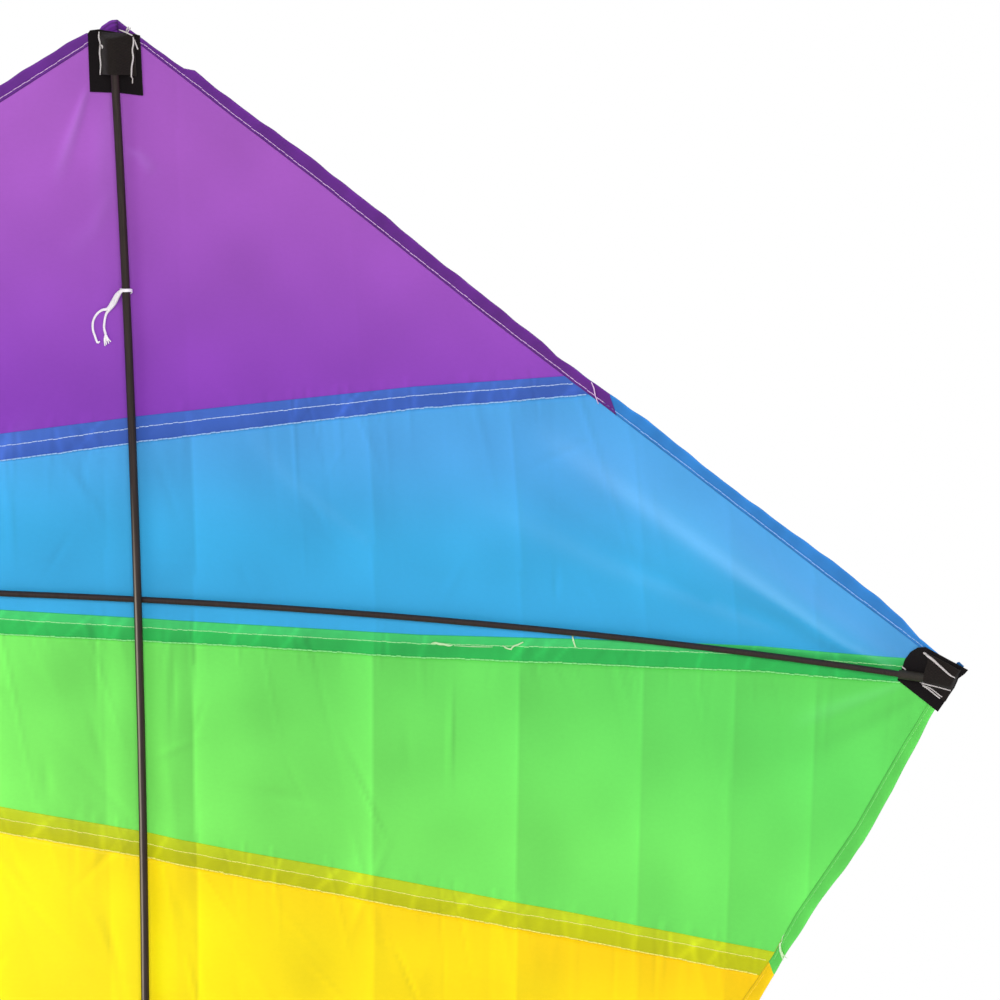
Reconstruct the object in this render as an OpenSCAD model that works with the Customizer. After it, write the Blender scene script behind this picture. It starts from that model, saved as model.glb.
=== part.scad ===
// Diamond kite: a bowed sail of six sewn panels over a fibreglass spine and cross spar,
// with folded webbing pockets at the four corners and a two-leg bridle on the front.
// Millimetres. The rods cross at the origin, +Z runs up the spine to the nose, and the
// back of the kite, where the rods are, faces -Y.

/* [Frame] */
// Straight distance from the spine to a wing corner
half_span = 438; // [380:1:480]
// Height of the nose above the crossing of the rods
nose_h = 290; // [270:1:320]
// Distance from the crossing of the rods down to the tail
tail_h = 664; // [620:1:700]
// How far the wing corners bow back from the crossing
tip_bow = 82; // [60:1:110]
// Radius of the spine's gentle bow
spine_bow_r = 3260; // [2800:10:6000]
// Height of the wing corners above the cross spar
tip_rise = 9; // [6:0.5:14]
// Diameter of the spine rod
spine_d = 4; // [3:0.1:5]
// Diameter of the cross spar rod
spar_d = 3; // [2.5:0.1:4]
// Wall of a rod's vinyl end cap
cap_wall = 0.6; // [0.4:0.05:0.8]
// Length of the spine's end caps
spine_cap_l = 14; // [10:1:17]
// Length of the cross spar's end caps
spar_cap_l = 28; // [16:1:34]
// Thickness of an end cap's closed end
cap_end = 2; // [1:0.5:4]

/* [Sail] */
// Thickness of the sail cloth, as a solid
sail_t = 0.6; // [0.4:0.1:1]
// Outward swell of the long lower edges
trail_swell = 9; // [0:0.5:14]
// How much of the sail's nose is folded down to leave a flat
nose_fold = 3; // [1:0.5:5]
// How much of the sail's tail is folded up to leave a flat
tail_fold = 6; // [3:0.5:9]
// Radius of the seams' slight sag
seam_sag_r = 5000; // [3000:100:20000]
// Height of the purple and blue seam at the spine
seam_1_z = 91; // [80:1:110]
// Slope of the purple and blue seam, in degrees
seam_1_angle = 8.7; // [6:0.1:12]
// Height of the blue and green seam at the spine
seam_2_z = -10; // [-20:1:-4]
// Slope of the blue and green seam, in degrees
seam_2_angle = 0.3; // [-2:0.1:3]
// Height of the green and yellow seam at the spine
seam_3_z = -115; // [-130:1:-100]
// Slope of the green and yellow seam, in degrees
seam_3_angle = -5.6; // [-8:0.1:-3]
// Height of the yellow and orange seam at the spine
seam_4_z = -225; // [-240:1:-210]
// Slope of the yellow and orange seam, in degrees
seam_4_angle = -11; // [-14:0.1:-9]
// Height of the orange and red seam at the spine
seam_5_z = -342; // [-360:1:-330]
// Slope of the orange and red seam, in degrees
seam_5_angle = -16.5; // [-20:0.1:-14]

/* [Pockets] */
// Width of the webbing
webbing_w = 25; // [20:0.5:30]
// Thickness of the webbing
webbing_t = 0.8; // [0.6:0.1:1.2]
// Length of the nose and tail pockets' base along the spine
pocket_l = 30; // [26:1:34]
// Length of the flap that is folded back over a rod's end
flap_l = 20; // [18:0.5:22]
// Width of the flap at its mouth, between the stitch lines
flap_w = 18; // [16:0.5:20]
// How much further the middle of a flap's mouth is cut back
flap_arch = 2; // [0:0.5:4]
// Distance from the nose of the sail down to the nose pocket's fold
nose_pocket_inset = 9; // [8.5:0.5:12]
// Distance from the tail of the sail up to the tail pocket's fold
tail_pocket_inset = 20; // [19:0.5:26]
// Length of a wing pocket's fold along the lower edge, measured across the wing
tip_fold_w = 16; // [15:0.5:18]
// Length of a wing pocket's lower side, square to the lower edge
tip_low_l = 25; // [22:0.5:28]
// Distance in from the wing corner to the top of a wing pocket's mouth
tip_mouth_in = 29; // [26:0.5:32]
// Height of that point above the wing corner
tip_mouth_rise = 5; // [3:0.5:7]
// Inside diameter of the ribbon loop for a tail
tail_loop_d = 10; // [8:0.5:14]
// Width of the ribbon of that loop
tail_loop_w = 8; // [6:0.5:12]

/* [Bridle] */
// Diameter of the bridle line
line_d = 1.2; // [1:0.1:1.6]
// Height of the upper bridle tie
upper_tie_z = 152; // [140:1:160]
// Height of the lower bridle tie
lower_tie_z = -330; // [-340:1:-320]
// Diameter of the hole that the line goes through
line_hole_d = 3; // [2.4:0.1:4]
// Side of a square patch round a bridle hole
patch_w = 24; // [16:1:30]
// Thickness of a patch
patch_t = 0.4; // [0.3:0.1:0.8]
// Hole of the tow ring
tow_ring_d = 10; // [8:0.5:14]
// Thickness of the tow ring's metal
tow_ring_t = 2.4; // [2:0.1:3]
// Length of the wrapped knot that holds the tow ring
knot_l = 5; // [4:0.5:7]

/* [Fits] */
// Clearance between cloth and what it lies on
cloth_gap = 0.3; // [0.2:0.05:0.5]
// Clearance between rods, caps, knots and line where they touch
rod_gap = 0.1; // [0.05:0.05:0.2]

/* [Hidden] */
$fn = 48;

purple = [0.62, 0.31, 0.74];
blue = [0.28, 0.64, 0.90];
green = [0.43, 0.90, 0.39];
yellow = [1.00, 0.88, 0.10];
orange = [0.98, 0.55, 0.12];
red = [0.88, 0.16, 0.14];
rod_black = [0.10, 0.09, 0.09];
cap_grey = [0.25, 0.25, 0.26];
webbing_black = [0.05, 0.05, 0.06];
line_white = [0.93, 0.93, 0.90];

spine_r = spine_d / 2;
spar_r = spar_d / 2;
line_r = line_d / 2;
cap_t = cap_wall + rod_gap;
spar_bow_r = (half_span * half_span + tip_bow * tip_bow) / (2 * tip_bow);
// Offsets along Y from the spar's centre line. The spine lies on the back of the spar. Towards
// the front come the webbing under the spar's caps, then the cloth.
spine_off = -(spar_r + spine_r + rod_gap);
base_off = spar_r + cap_t + 2 * cloth_gap;
back_off = base_off + webbing_t + cloth_gap;
sail_off = back_off + sail_t / 2;
face_off = back_off + sail_t;

seam_z = [seam_1_z, seam_2_z, seam_3_z, seam_4_z, seam_5_z];
seam_angle = [seam_1_angle, seam_2_angle, seam_3_angle, seam_4_angle, seam_5_angle];
// Panels stop this far short of a seam's line, so that neighbours don't overlap.
seam_gap = cloth_gap / 2;
// Height of a panel's narrow ends, so that no end is a knife edge
panel_tip_h = 0.6;
columns = 26;
rows = 4;
// Facets round a rod, a line or the metal of a ring
round_cells = 24;

// ---- the sail's surface ----
function spar_y(x) = sqrt(pow(spar_bow_r, 2) - x * x) - spar_bow_r;
function spine_y(z) = sqrt(pow(spine_bow_r, 2) - z * z) - spine_bow_r;
function end_h(z) = z > 0 ? nose_h : tail_h;
// The cloth is held straight between its corners and bends back over both rods.
function bend_y(x, z) = (spine_y(end_h(z)) - tip_bow) * abs(x * z) / half_span / end_h(z);
function sail_y(x, z) = spar_y(x) + spine_y(z) + bend_y(x, z);
function on_sail(x, z, off) = [x, sail_y(x, z) + off, z];

// ---- outlines, as heights over x ----
function reach(x) = abs(x) / half_span;
function lead_z(x) = min(nose_h - nose_fold, nose_h + (tip_rise - nose_h) * reach(x));
function trail_line(x) = -tail_h + (tip_rise + tail_h) * reach(x);
function trail_z(x) =
    max(-tail_h + tail_fold, trail_line(x) - trail_swell * 4 * reach(x) * (1 - reach(x)));
function seam(k, x) = seam_z[k] + tan(seam_angle[k]) * x + x * x / (2 * seam_sag_r);
function panel_top(k, x) = k == 0 ? lead_z(x) : min(lead_z(x), seam(k - 1, x) - seam_gap);
function panel_low(k, x) = k == 5 ? trail_z(x) : max(trail_z(x), seam(k, x) + seam_gap);

// ---- where curves meet, by halving the interval from the spine out to a corner ----
halvings = 30;
function panel_end(k, a, b, n = halvings) =
    n == 0 ? a :
    panel_top(k, (a + b) / 2) - panel_low(k, (a + b) / 2) > panel_tip_h
        ? panel_end(k, (a + b) / 2, b, n - 1)
        : panel_end(k, a, (a + b) / 2, n - 1);
function seam_inside(k, x) = min(lead_z(x) - seam(k, x), seam(k, x) - trail_z(x));
function seam_end(k, a, b, n = halvings) =
    n == 0 ? a :
    seam_inside(k, (a + b) / 2) > 0
        ? seam_end(k, (a + b) / 2, b, n - 1)
        : seam_end(k, a, (a + b) / 2, n - 1);
function trail_zero(a, b, n = halvings) =
    n == 0 ? a :
    trail_z((a + b) / 2) < 0
        ? trail_zero((a + b) / 2, b, n - 1)
        : trail_zero(a, (a + b) / 2, n - 1);
level_x = trail_zero(0, half_span);
nose_flat_x = nose_fold / (nose_h - tip_rise) * half_span;
tail_flat_x = tail_fold / (tail_h + tip_rise) * half_span;

function mix(a, b, t) = a + (b - a) * t;
function unit(v) = v / norm(v);
function sorted(v) =
    len(v) < 2 ? v :
    let (pivot = v[0],
         rest = [for (i = [1 : len(v) - 1]) v[i]])
    concat(sorted([for (a = rest) if (a < pivot) a]), [pivot],
           sorted([for (a = rest) if (a >= pivot) a]));
function apart(v, d, i = 0, last = -1e9) =
    i == len(v) ? [] :
    v[i] - last > d ? concat([v[i]], apart(v, d, i + 1, v[i])) : apart(v, d, i + 1, last);

// A panel's corners come first, and even columns fill the stretches between them.
function panel_corners(k, left, right) =
    let (ends = [for (s = [k - 1, k]) if (s >= 0 && s < 5)
                     each [seam_end(s, 0, -half_span), seam_end(s, 0, half_span)]],
         flats = k == 0 ? [-nose_flat_x, nose_flat_x] : k == 5 ? [-tail_flat_x, tail_flat_x]
                 : [-level_x, level_x])
    apart(sorted([for (x = concat([left, 0, right], ends, flats)) if (x >= left && x <= right) x]), 1);
function panel_columns(k) =
    let (left = panel_end(k, 0, -half_span),
         right = panel_end(k, 0, half_span),
         keys = panel_corners(k, left, right),
         step = (right - left) / columns)
    [for (i = [0 : len(keys) - 2])
        let (n = max(1, round((keys[i + 1] - keys[i]) / step)))
        each [for (j = [0 : n - 1]) keys[i] + (keys[i + 1] - keys[i]) * j / n],
     keys[len(keys) - 1]];

// ---- a closed solid between two grids of points with the same rows and columns ----
module between(a, b) {
    nu = len(a);
    nv = len(a[0]);
    count = nu * nv;
    function at(i, j) = i * nv + j;
    points = concat([for (r = a) each r], [for (r = b) each r]);
    function quad(p, q, r, s) = [[p, q, r], [p, r, s]];
    faces = concat(
        [for (i = [0 : nu - 2]) for (j = [0 : nv - 2])
            each quad(at(i, j), at(i, j + 1), at(i + 1, j + 1), at(i + 1, j))],
        [for (i = [0 : nu - 2]) for (j = [0 : nv - 2])
            each quad(count + at(i, j), count + at(i + 1, j),
                      count + at(i + 1, j + 1), count + at(i, j + 1))],
        [for (i = [0 : nu - 2])
            each quad(at(i, 0), at(i + 1, 0), count + at(i + 1, 0), count + at(i, 0))],
        [for (i = [0 : nu - 2])
            each quad(at(i + 1, nv - 1), at(i, nv - 1), count + at(i, nv - 1), count + at(i + 1, nv - 1))],
        [for (j = [0 : nv - 2])
            each quad(at(0, j + 1), at(0, j), count + at(0, j), count + at(0, j + 1))],
        [for (j = [0 : nv - 2])
            each quad(at(nu - 1, j), at(nu - 1, j + 1), count + at(nu - 1, j + 1), count + at(nu - 1, j))]);
    polyhedron(points, faces, convexity = 6);
}

// ---- sail ----
// A panel that the spar crosses has a row of points along it, where the cloth is bent.
function row_z(low, top, creased) =
    let (mid = creased ? max(low + cloth_gap, min(top - cloth_gap, 0)) : (low + top) / 2)
    [for (j = [0 : rows]) j < rows / 2 ? mix(low, mid, 2 * j / rows) : mix(mid, top, 2 * j / rows - 1)];
function panel_grid(k, off) =
    [for (x = panel_columns(k))
        [for (z = row_z(panel_low(k, x), panel_top(k, x), k == 1 || k == 2)) on_sail(x, z, off)]];

module panel(k) between(panel_grid(k, back_off), panel_grid(k, face_off));

module line_hole(z) translate([0, spine_y(z) + sail_off, z]) rotate([90, 0, 0])
    cylinder(h = 4 * (sail_t + patch_t + cloth_gap), d = line_hole_d, center = true);

module sail_purple() color(purple) difference() {
    panel(0);
    line_hole(upper_tie_z);
}
module sail_blue() color(blue) panel(1);
module sail_green() color(green) panel(2);
module sail_yellow() color(yellow) panel(3);
module sail_orange() color(orange) difference() {
    panel(4);
    line_hole(lower_tie_z);
}
module sail_red() color(red) panel(5);

// ---- rods ----
nose_pocket_z = nose_h - nose_pocket_inset;
tail_pocket_z = tail_pocket_inset - tail_h;
// A capped rod ends this far short of a pocket's fold.
cap_room = webbing_t + 2 * cloth_gap + cap_end;
spine_top_z = nose_pocket_z - cap_room;
spine_low_z = tail_pocket_z + cap_room;
// The wing pockets fold along the lower edge of the sail, which the spar meets here.
tip_low = [half_span - tip_fold_w, trail_z(half_span - tip_fold_w)];
tip_high = [half_span, tip_rise];
tip_fold_slope = (tip_high[0] - tip_low[0]) / (tip_high[1] - tip_low[1]);
spar_end_x = half_span - tip_rise * tip_fold_slope
    - cap_room * norm([1, tip_fold_slope]) - (spar_r + cap_t) * tip_fold_slope;
spine_top_a = asin(spine_top_z / spine_bow_r);
spine_low_a = asin(spine_low_z / spine_bow_r);
spar_end_a = asin(spar_end_x / spar_bow_r);

module bowed_rod(radius, from, to, r)
    rotate([0, 0, from]) rotate_extrude(angle = to - from, $fn = 360)
        translate([radius, 0]) circle(r = r, $fn = round_cells);

// A vinyl cap on the end of a bowed rod; way is the sign of the direction that the rod ends in.
module end_cap(radius, end_a, way, r, length) {
    turn = way * 180 / (PI * radius);
    color(cap_grey) difference() {
        bowed_rod(radius, end_a - turn * (length - cap_end), end_a + turn * cap_end, r + cap_t);
        bowed_rod(radius, end_a - turn * length, end_a + turn * rod_gap, r + rod_gap);
    }
}
module along_spine() translate([0, spine_off - spine_bow_r, 0]) rotate([90, 0, 90]) children();
module along_spar() translate([0, -spar_bow_r, 0]) rotate([0, 0, 90]) children();

module spine() color(rod_black) along_spine() bowed_rod(spine_bow_r, spine_low_a, spine_top_a, spine_r);
module cross_spar() color(rod_black) along_spar() bowed_rod(spar_bow_r, -spar_end_a, spar_end_a, spar_r);
module spine_cap_nose() along_spine() end_cap(spine_bow_r, spine_top_a, 1, spine_r, spine_cap_l);
module spine_cap_tail() along_spine() end_cap(spine_bow_r, spine_low_a, -1, spine_r, spine_cap_l);
module spar_cap_left() along_spar() end_cap(spar_bow_r, spar_end_a, 1, spar_r, spar_cap_l);
module spar_cap_right() along_spar() end_cap(spar_bow_r, -spar_end_a, -1, spar_r, spar_cap_l);

// ---- corner pockets: webbing sewn to the back of the sail, its flap folded over the rod ----
across_cells = 12;
base_cells = 4;
flap_cells = 4;
// The flap's tunnel clears the capped rod.
tunnel_half_w = flap_w / 2;
spine_tunnel_h = base_off - spine_off + spine_r + cap_t;
spar_tunnel_h = base_off + spar_r + cap_t;
// Height of the flap over the base, at a distance from the rod's centre line
function tunnel(d, high) =
    cloth_gap + (d >= tunnel_half_w ? 0 : high * (0.5 + 0.5 * cos(180 * d / tunnel_half_w)));
// The outer face of the webbing, or its inner face where inner is webbing_t: the base from its
// mouth edge to the fold, then the flap back to its own mouth. An edge is two [x, z] points.
function pocket_grid(mouth, fold, along_x, high, inner) =
    [for (i = [0 : across_cells])
        let (t = i / across_cells,
             narrow = 0.5 + (t - 0.5) * flap_w / norm(fold[1] - fold[0]),
             f = mix(fold[0], fold[1], t),
             m = mix(mouth[0], mouth[1], t),
             f_end = f - unit(f - m) * inner,
             flap_at = mix(fold[0], fold[1], narrow),
             flap_way = unit(mix(mouth[0], mouth[1], narrow) - flap_at),
             flap_to = flap_way * (flap_l - flap_arch * sin(180 * t)),
             base = [for (j = [0 : base_cells]) mix(m, f_end, j / base_cells)],
             flap = [f_end, for (j = [1 : flap_cells])
                 mix(f_end, flap_at + flap_to, j / flap_cells)])
        concat(
            [for (p = base) on_sail(p[0], p[1], base_off + webbing_t - inner)],
            [for (p = flap) on_sail(p[0], p[1], base_off - webbing_t + inner
                                    - tunnel(along_x ? abs(p[1]) : abs(p[0]), high))])];

module pocket(mouth, fold, along_x, high) color(webbing_black)
    between(pocket_grid(mouth, fold, along_x, high, 0),
            pocket_grid(mouth, fold, along_x, high, webbing_t));

module spine_pocket(fold_z, up)
    pocket([[up * webbing_w / 2, fold_z - up * pocket_l], [-up * webbing_w / 2, fold_z - up * pocket_l]],
           [[up * webbing_w / 2, fold_z], [-up * webbing_w / 2, fold_z]],
           false, spine_tunnel_h);
module nose_pocket() spine_pocket(nose_pocket_z, 1);
module tail_pocket() spine_pocket(tail_pocket_z, -1);

tip_in = unit([tip_low[1] - tip_high[1], tip_high[0] - tip_low[0]]);
tip_mouth = [half_span - tip_mouth_in, tip_rise + tip_mouth_rise];
module tip_pocket_right()
    pocket([tip_low + tip_in * tip_low_l, tip_mouth],
           [tip_low + tip_in * cloth_gap, tip_high + tip_in * cloth_gap],
           true, spar_tunnel_h);
module tip_pocket_left() mirror([1, 0, 0]) tip_pocket_right();

// A ribbon loop below the tail pocket, for a tail
loop_r = tail_loop_d / 2;
tail_end_z = tail_fold - tail_h;
loop_z = tail_end_z - cloth_gap - webbing_t - loop_r;
module tail_loop() color(webbing_black)
    translate([0, spine_y(tail_end_z) + sail_off, loop_z]) rotate([0, 90, 0]) difference() {
        cylinder(h = tail_loop_w, r = loop_r + webbing_t, center = true);
        cylinder(h = tail_loop_w + 2, r = loop_r, center = true);
    }

// ---- bridle ----
// The line loops round the spine, is knotted beside it and goes through the sail to the front.
tie_r = spine_r + rod_gap + line_r;
knot_r = 1.4 * line_d;
knot_x = spine_r + rod_gap + knot_r;
knot_end_l = 3 * knot_r;
exit_off = face_off + cloth_gap + patch_t + cloth_gap;

module bridle_tie(z) color(line_white) translate([0, spine_y(z), z]) {
    translate([0, spine_off, 0]) {
        rotate_extrude() translate([tie_r, 0]) circle(r = line_r, $fn = round_cells);
        translate([-knot_x, 0, 0]) sphere(r = knot_r);
        translate([-knot_x, 0, -knot_end_l]) cylinder(h = knot_end_l, r = line_r);
    }
    translate([0, spine_off + tie_r, 0]) rotate([-90, 0, 0])
        cylinder(h = exit_off - spine_off - tie_r, r = line_r);
}
module bridle_tie_upper() bridle_tie(upper_tie_z);
module bridle_tie_lower() bridle_tie(lower_tie_z);

patch_cells = 4;
function patch_grid(z, off) =
    [for (i = [-patch_cells : patch_cells])
        [for (j = [-1 : 2 : 1]) on_sail(patch_w / 2 * i / patch_cells, z + patch_w / 2 * j, off)]];
module bridle_patch(z) difference() {
    between(patch_grid(z, face_off + cloth_gap), patch_grid(z, face_off + cloth_gap + patch_t));
    line_hole(z);
}
module bridle_patch_upper() color(purple) bridle_patch(upper_tie_z);
module bridle_patch_lower() color(orange) bridle_patch(lower_tie_z);

// The slack bridle hangs down the front of the sail. Its route was chosen by hand, as [x, y, z]
// from the upper tie's exit to the lower tie's.
upper_exit = [0, spine_y(upper_tie_z) + exit_off + cloth_gap, upper_tie_z];
lower_exit = [0, spine_y(lower_tie_z) + exit_off + cloth_gap, lower_tie_z];
line_y = 13;
ring_z = -248;
line_route = concat([upper_exit, upper_exit + [0, 4, -0.5]],
    [[0, 9, 149.5], [0, 11.5, 145], [0, line_y, 136], [0, line_y, 60], [0, line_y, -100], [0, line_y, -220],
     [0, line_y, -280], [0, 13, -400], [-1, 12, -520], [-1, 11, -550],
     [1, 10.5, -562], [5, 10, -570], [11, 9.5, -573], [17, 9, -570], [21, 8.5, -562],
     [22, 8, -550], [20, 6, -500], [13, 1, -420], [7, -3, -362], [3, -5, -343], [1, -6, -335]],
    [lower_exit + [0, 3.5, -0.8], lower_exit]);
line_sides = 8;

function tangent(route, i) = unit(route[min(i + 1, len(route) - 1)] - route[max(i - 1, 0)]);
// Each ring of the tube keeps its first side turned the way the ring before it did.
function side_of(t, last) = unit(last - t * (last * t));
function sides(route, i = 0, last = [1, 0, 0]) =
    i == len(route) ? [] :
    let (s = side_of(tangent(route, i), last)) concat([s], sides(route, i + 1, s));
module tube(route, r) {
    side = sides(route);
    rings = [for (i = [0 : len(route) - 1])
        let (t = tangent(route, i), u = side[i], v = cross(t, u))
        each [for (a = [0 : line_sides - 1])
            route[i] + r * (u * cos(360 * a / line_sides) + v * sin(360 * a / line_sides))]];
    last = (len(route) - 1) * line_sides;
    polyhedron(rings, concat(
        [[for (a = [0 : line_sides - 1]) a]],
        [for (i = [0 : len(route) - 2]) for (a = [0 : line_sides - 1])
            let (b = (a + 1) % line_sides, n = i * line_sides)
            each [[n + a, n + line_sides + a, n + line_sides + b], [n + a, n + line_sides + b, n + b]]],
        [[for (a = [line_sides - 1 : -1 : 0]) last + a]]), convexity = 8);
}
module bridle_line() color(line_white) tube(line_route, line_r);

// The tow ring hangs in a loop of line that a wrapped knot grips to the bridle.
ring_half_t = tow_ring_t / 2;
ring_mid_r = tow_ring_d / 2 + ring_half_t * 0.7;
ring_loop_r = ring_half_t + line_r + cloth_gap;
ring_y = line_y + rod_gap + 2 * line_r + ring_loop_r;

module ring_knot() color(line_white) difference() {
    union() {
        translate([0, line_y, ring_z - knot_l / 2]) cylinder(h = knot_l, r = knot_r);
        translate([0, ring_y, ring_z]) rotate([0, 90, 0])
            rotate_extrude() translate([ring_loop_r, 0]) circle(r = line_r, $fn = round_cells);
    }
    translate([0, line_y, ring_z - knot_l]) cylinder(h = 2 * knot_l, r = line_r + rod_gap);
}

module tow_ring() color("silver")
    translate([0, ring_y, ring_z - ring_mid_r]) rotate([90, 0, 0]) rotate_extrude() intersection() {
        translate([ring_mid_r, 0]) circle(r = ring_half_t, $fn = round_cells);
        translate([tow_ring_d / 2, -tow_ring_t]) square(2 * tow_ring_t);
    }

sail_purple();
sail_blue();
sail_green();
sail_yellow();
sail_orange();
sail_red();
spine();
cross_spar();
spine_cap_nose();
spine_cap_tail();
spar_cap_left();
spar_cap_right();
nose_pocket();
tail_pocket();
tip_pocket_left();
tip_pocket_right();
tail_loop();
bridle_tie_upper();
bridle_tie_lower();
bridle_patch_upper();
bridle_patch_lower();
bridle_line();
ring_knot();
tow_ring();
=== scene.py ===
"""Looks of the diamond kite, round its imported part. Numbers are millimetres unless a line says metres."""
import math

import bpy
import numpy as np
from mathutils import Matrix, Vector
from mathutils.bvhtree import BVHTree


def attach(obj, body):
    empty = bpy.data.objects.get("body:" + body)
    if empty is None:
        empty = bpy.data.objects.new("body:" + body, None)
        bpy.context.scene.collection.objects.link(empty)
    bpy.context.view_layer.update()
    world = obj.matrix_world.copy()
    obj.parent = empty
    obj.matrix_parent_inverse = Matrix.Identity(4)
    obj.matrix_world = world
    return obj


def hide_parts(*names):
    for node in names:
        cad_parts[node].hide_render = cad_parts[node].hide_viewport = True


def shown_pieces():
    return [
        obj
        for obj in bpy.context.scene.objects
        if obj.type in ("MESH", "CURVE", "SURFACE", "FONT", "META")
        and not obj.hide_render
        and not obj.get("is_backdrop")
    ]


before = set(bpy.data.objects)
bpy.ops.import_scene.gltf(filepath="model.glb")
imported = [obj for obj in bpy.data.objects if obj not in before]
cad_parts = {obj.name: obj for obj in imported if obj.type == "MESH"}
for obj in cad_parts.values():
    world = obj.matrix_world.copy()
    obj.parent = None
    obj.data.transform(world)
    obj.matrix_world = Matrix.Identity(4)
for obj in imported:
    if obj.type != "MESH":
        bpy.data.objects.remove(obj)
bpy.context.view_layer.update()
rng = np.random.default_rng(11)
MM = 0.001

# ---- image points: x, y in the photo's frame; None where only one of them counts ----
PHOTO_W = PHOTO_H = 1000
IMAGE_POINTS = {
    "right_edge": (969, None),
    "top_edge": (None, 19),
    "rods_cross": (139, 600),
    "spine_low": (145, 990),
    "spar_at_cap": (893, 675),
    "nose_pocket_low_left": (91, 91),
    "nose_pocket_low_right": (142, 94),
    "tip_pocket_inner": (897, 681),
    "tip_pocket_low": (938, 712),
    "tie_on_spine": (127, 291),
    "seam_purple_blue": (410, 387),
    "seam_blue_green": (410, 634),
    "seam_green_yellow": (410, 882),
    "purple_hem_end": (611, 405),
    "green_hem_end": (771, 968),
    "thread_lump": (442, 644),
    "thread_fork": (512, 648),
    "thread_tick": (574, 641),
    "thread_purple_hem": (595, 393),
    "thread_green_hem": (782, 948),
}

# ---- camera: where it stands round the rods' crossing, and how far its aim turns from it, in degrees ----
CAM_AZIMUTH, CAM_ELEVATION, CAM_DISTANCE = 19.7485, 13.1213, 6.0
CAM_AIM_AZIMUTH, CAM_AIM_ELEVATION, CAM_ROLL = -1.721, -0.4174, 1.304
CAM_LENS, CAM_SENSOR = 445.29, 36.0


def linked(name, data):
    """A new object in the scene."""
    obj = bpy.data.objects.new(name, data)
    bpy.context.scene.collection.objects.link(obj)
    return obj


def towards(azimuth, elevation):
    a, e = math.radians(azimuth), math.radians(elevation)
    return Vector((math.sin(a) * math.cos(e), -math.cos(a) * math.cos(e), math.sin(e)))


def make_camera():
    data = bpy.data.cameras.new("photo_camera")
    data.sensor_fit = "AUTO"
    data.sensor_width = CAM_SENSOR
    data.lens = CAM_LENS
    data.clip_start, data.clip_end = 0.1, 100.0
    cam = linked("photo_camera", data)
    bpy.context.scene.camera = cam
    aim = CAM_AZIMUTH + CAM_AIM_AZIMUTH
    back, right = towards(aim, CAM_ELEVATION + CAM_AIM_ELEVATION), towards(aim + 90, 0)
    up = back.cross(right)
    roll = math.radians(CAM_ROLL)
    x_axis = right * math.cos(roll) - up * math.sin(roll)
    y_axis = right * math.sin(roll) + up * math.cos(roll)
    turn = Matrix((x_axis, y_axis, back)).transposed().to_4x4()
    cam.matrix_world = Matrix.Translation(towards(CAM_AZIMUTH, CAM_ELEVATION) * CAM_DISTANCE) @ turn
    return cam


camera = make_camera()
VIEW = camera.matrix_world.copy()
EYE = VIEW.translation.copy()
LONG = max(PHOTO_W, PHOTO_H)
FOCUS = LONG * CAM_LENS / CAM_SENSOR
SHIFT_X, SHIFT_Y = camera.data.shift_x * LONG, camera.data.shift_y * LONG


def seen(points):
    """Where points of the kite, in mm, show in the photo's frame."""
    inv = np.array(VIEW.inverted())
    v = np.atleast_2d(np.asarray(points, float)) * MM @ inv[:3, :3].T + inv[:3, 3]
    x = PHOTO_W / 2 - SHIFT_X - FOCUS * v[:, 0] / v[:, 2]
    y = PHOTO_H / 2 + SHIFT_Y + FOCUS * v[:, 1] / v[:, 2]
    return np.stack([x, y], 1)


def place(name, carrier):
    """The spot, in mm, of a carrier's surface that shows at an image point, or the nearest to its ray."""
    x, y = IMAGE_POINTS[name]
    ray = VIEW.to_3x3() @ Vector((x - PHOTO_W / 2 + SHIFT_X, PHOTO_H / 2 - y + SHIFT_Y, -FOCUS))
    ray.normalize()
    hit = carrier.ray_cast(EYE, ray)[0]
    if hit is None:
        near = [carrier.find_nearest(EYE + ray * t) for t in CAM_DISTANCE + np.linspace(-0.4, 0.4, 81)]
        hit = min(near, key=lambda found: found[3])[0]
    return np.array(hit) / MM


# ---- the sail's surface, with the values of the part's source ----
HALF, NOSE, TAIL = 438.0, 290.0, 664.0
TIP_BOW, TIP_RISE, SPINE_BOW_R = 82.0, 9.0, 3260.0
NOSE_TOP, TAIL_LOW, SWELL = 288.0, -658.0, 9.0
SEAM_Z = (91.0, -10.0, -115.0, -225.0, -342.0)
SEAM_ANGLE = (8.7, 0.3, -5.6, -11.0, -16.5)
SEAM_SAG_R = 5000.0
# Along each seam: x, how far down the first row of stitches lies, and the band's width
SEAM_ROWS = (((-80, 6.2, 13.8), (60, 4.9, 12.2), (240, 4.0, 10.4)),
             ((-80, 4.6, 12.3), (57, 4.5, 11.0), (150, 4.3, 11.5), (270, 4.3, 12.4)),
             ((-80, 5.7, 12.8), (150, 5.8, 12.7), (240, 4.5, 12.2)),
             ((0, 4.6, 12.2),), ((0, 4.6, 12.2),))
SPAR_BOW_R = (HALF**2 + TIP_BOW**2) / (2 * TIP_BOW)
SPINE_R, CAP_R, SPINE_OFF = 2.0, 2.2, -3.6
TIE_Z = {"upper": 152.0, "lower": -330.0}
COLOURS = ("purple", "blue", "green", "yellow", "orange", "red")
SEAMS = tuple(zip(COLOURS, COLOURS[1:]))
# How far the cloth lies behind the spar's middle, on the open sail and at the corners
CLOTH_OFF, CORNER_OFF = 3.0, 4.2
CLOTH_T = 0.2
BAND_W, STITCH_1, STITCH_2 = 12.2, 4.1, 11.9
CORNERS = ((0, NOSE), (0, -TAIL), (HALF, TIP_RISE), (-HALF, TIP_RISE))


def along(table, distance):
    return np.interp(distance, *zip(*table))


def bell(distance, width):
    return np.exp(-(distance / width) ** 2)


def smooth(t):
    t = np.clip(t, 0, 1)
    return t * t * (3 - 2 * t)


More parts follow.
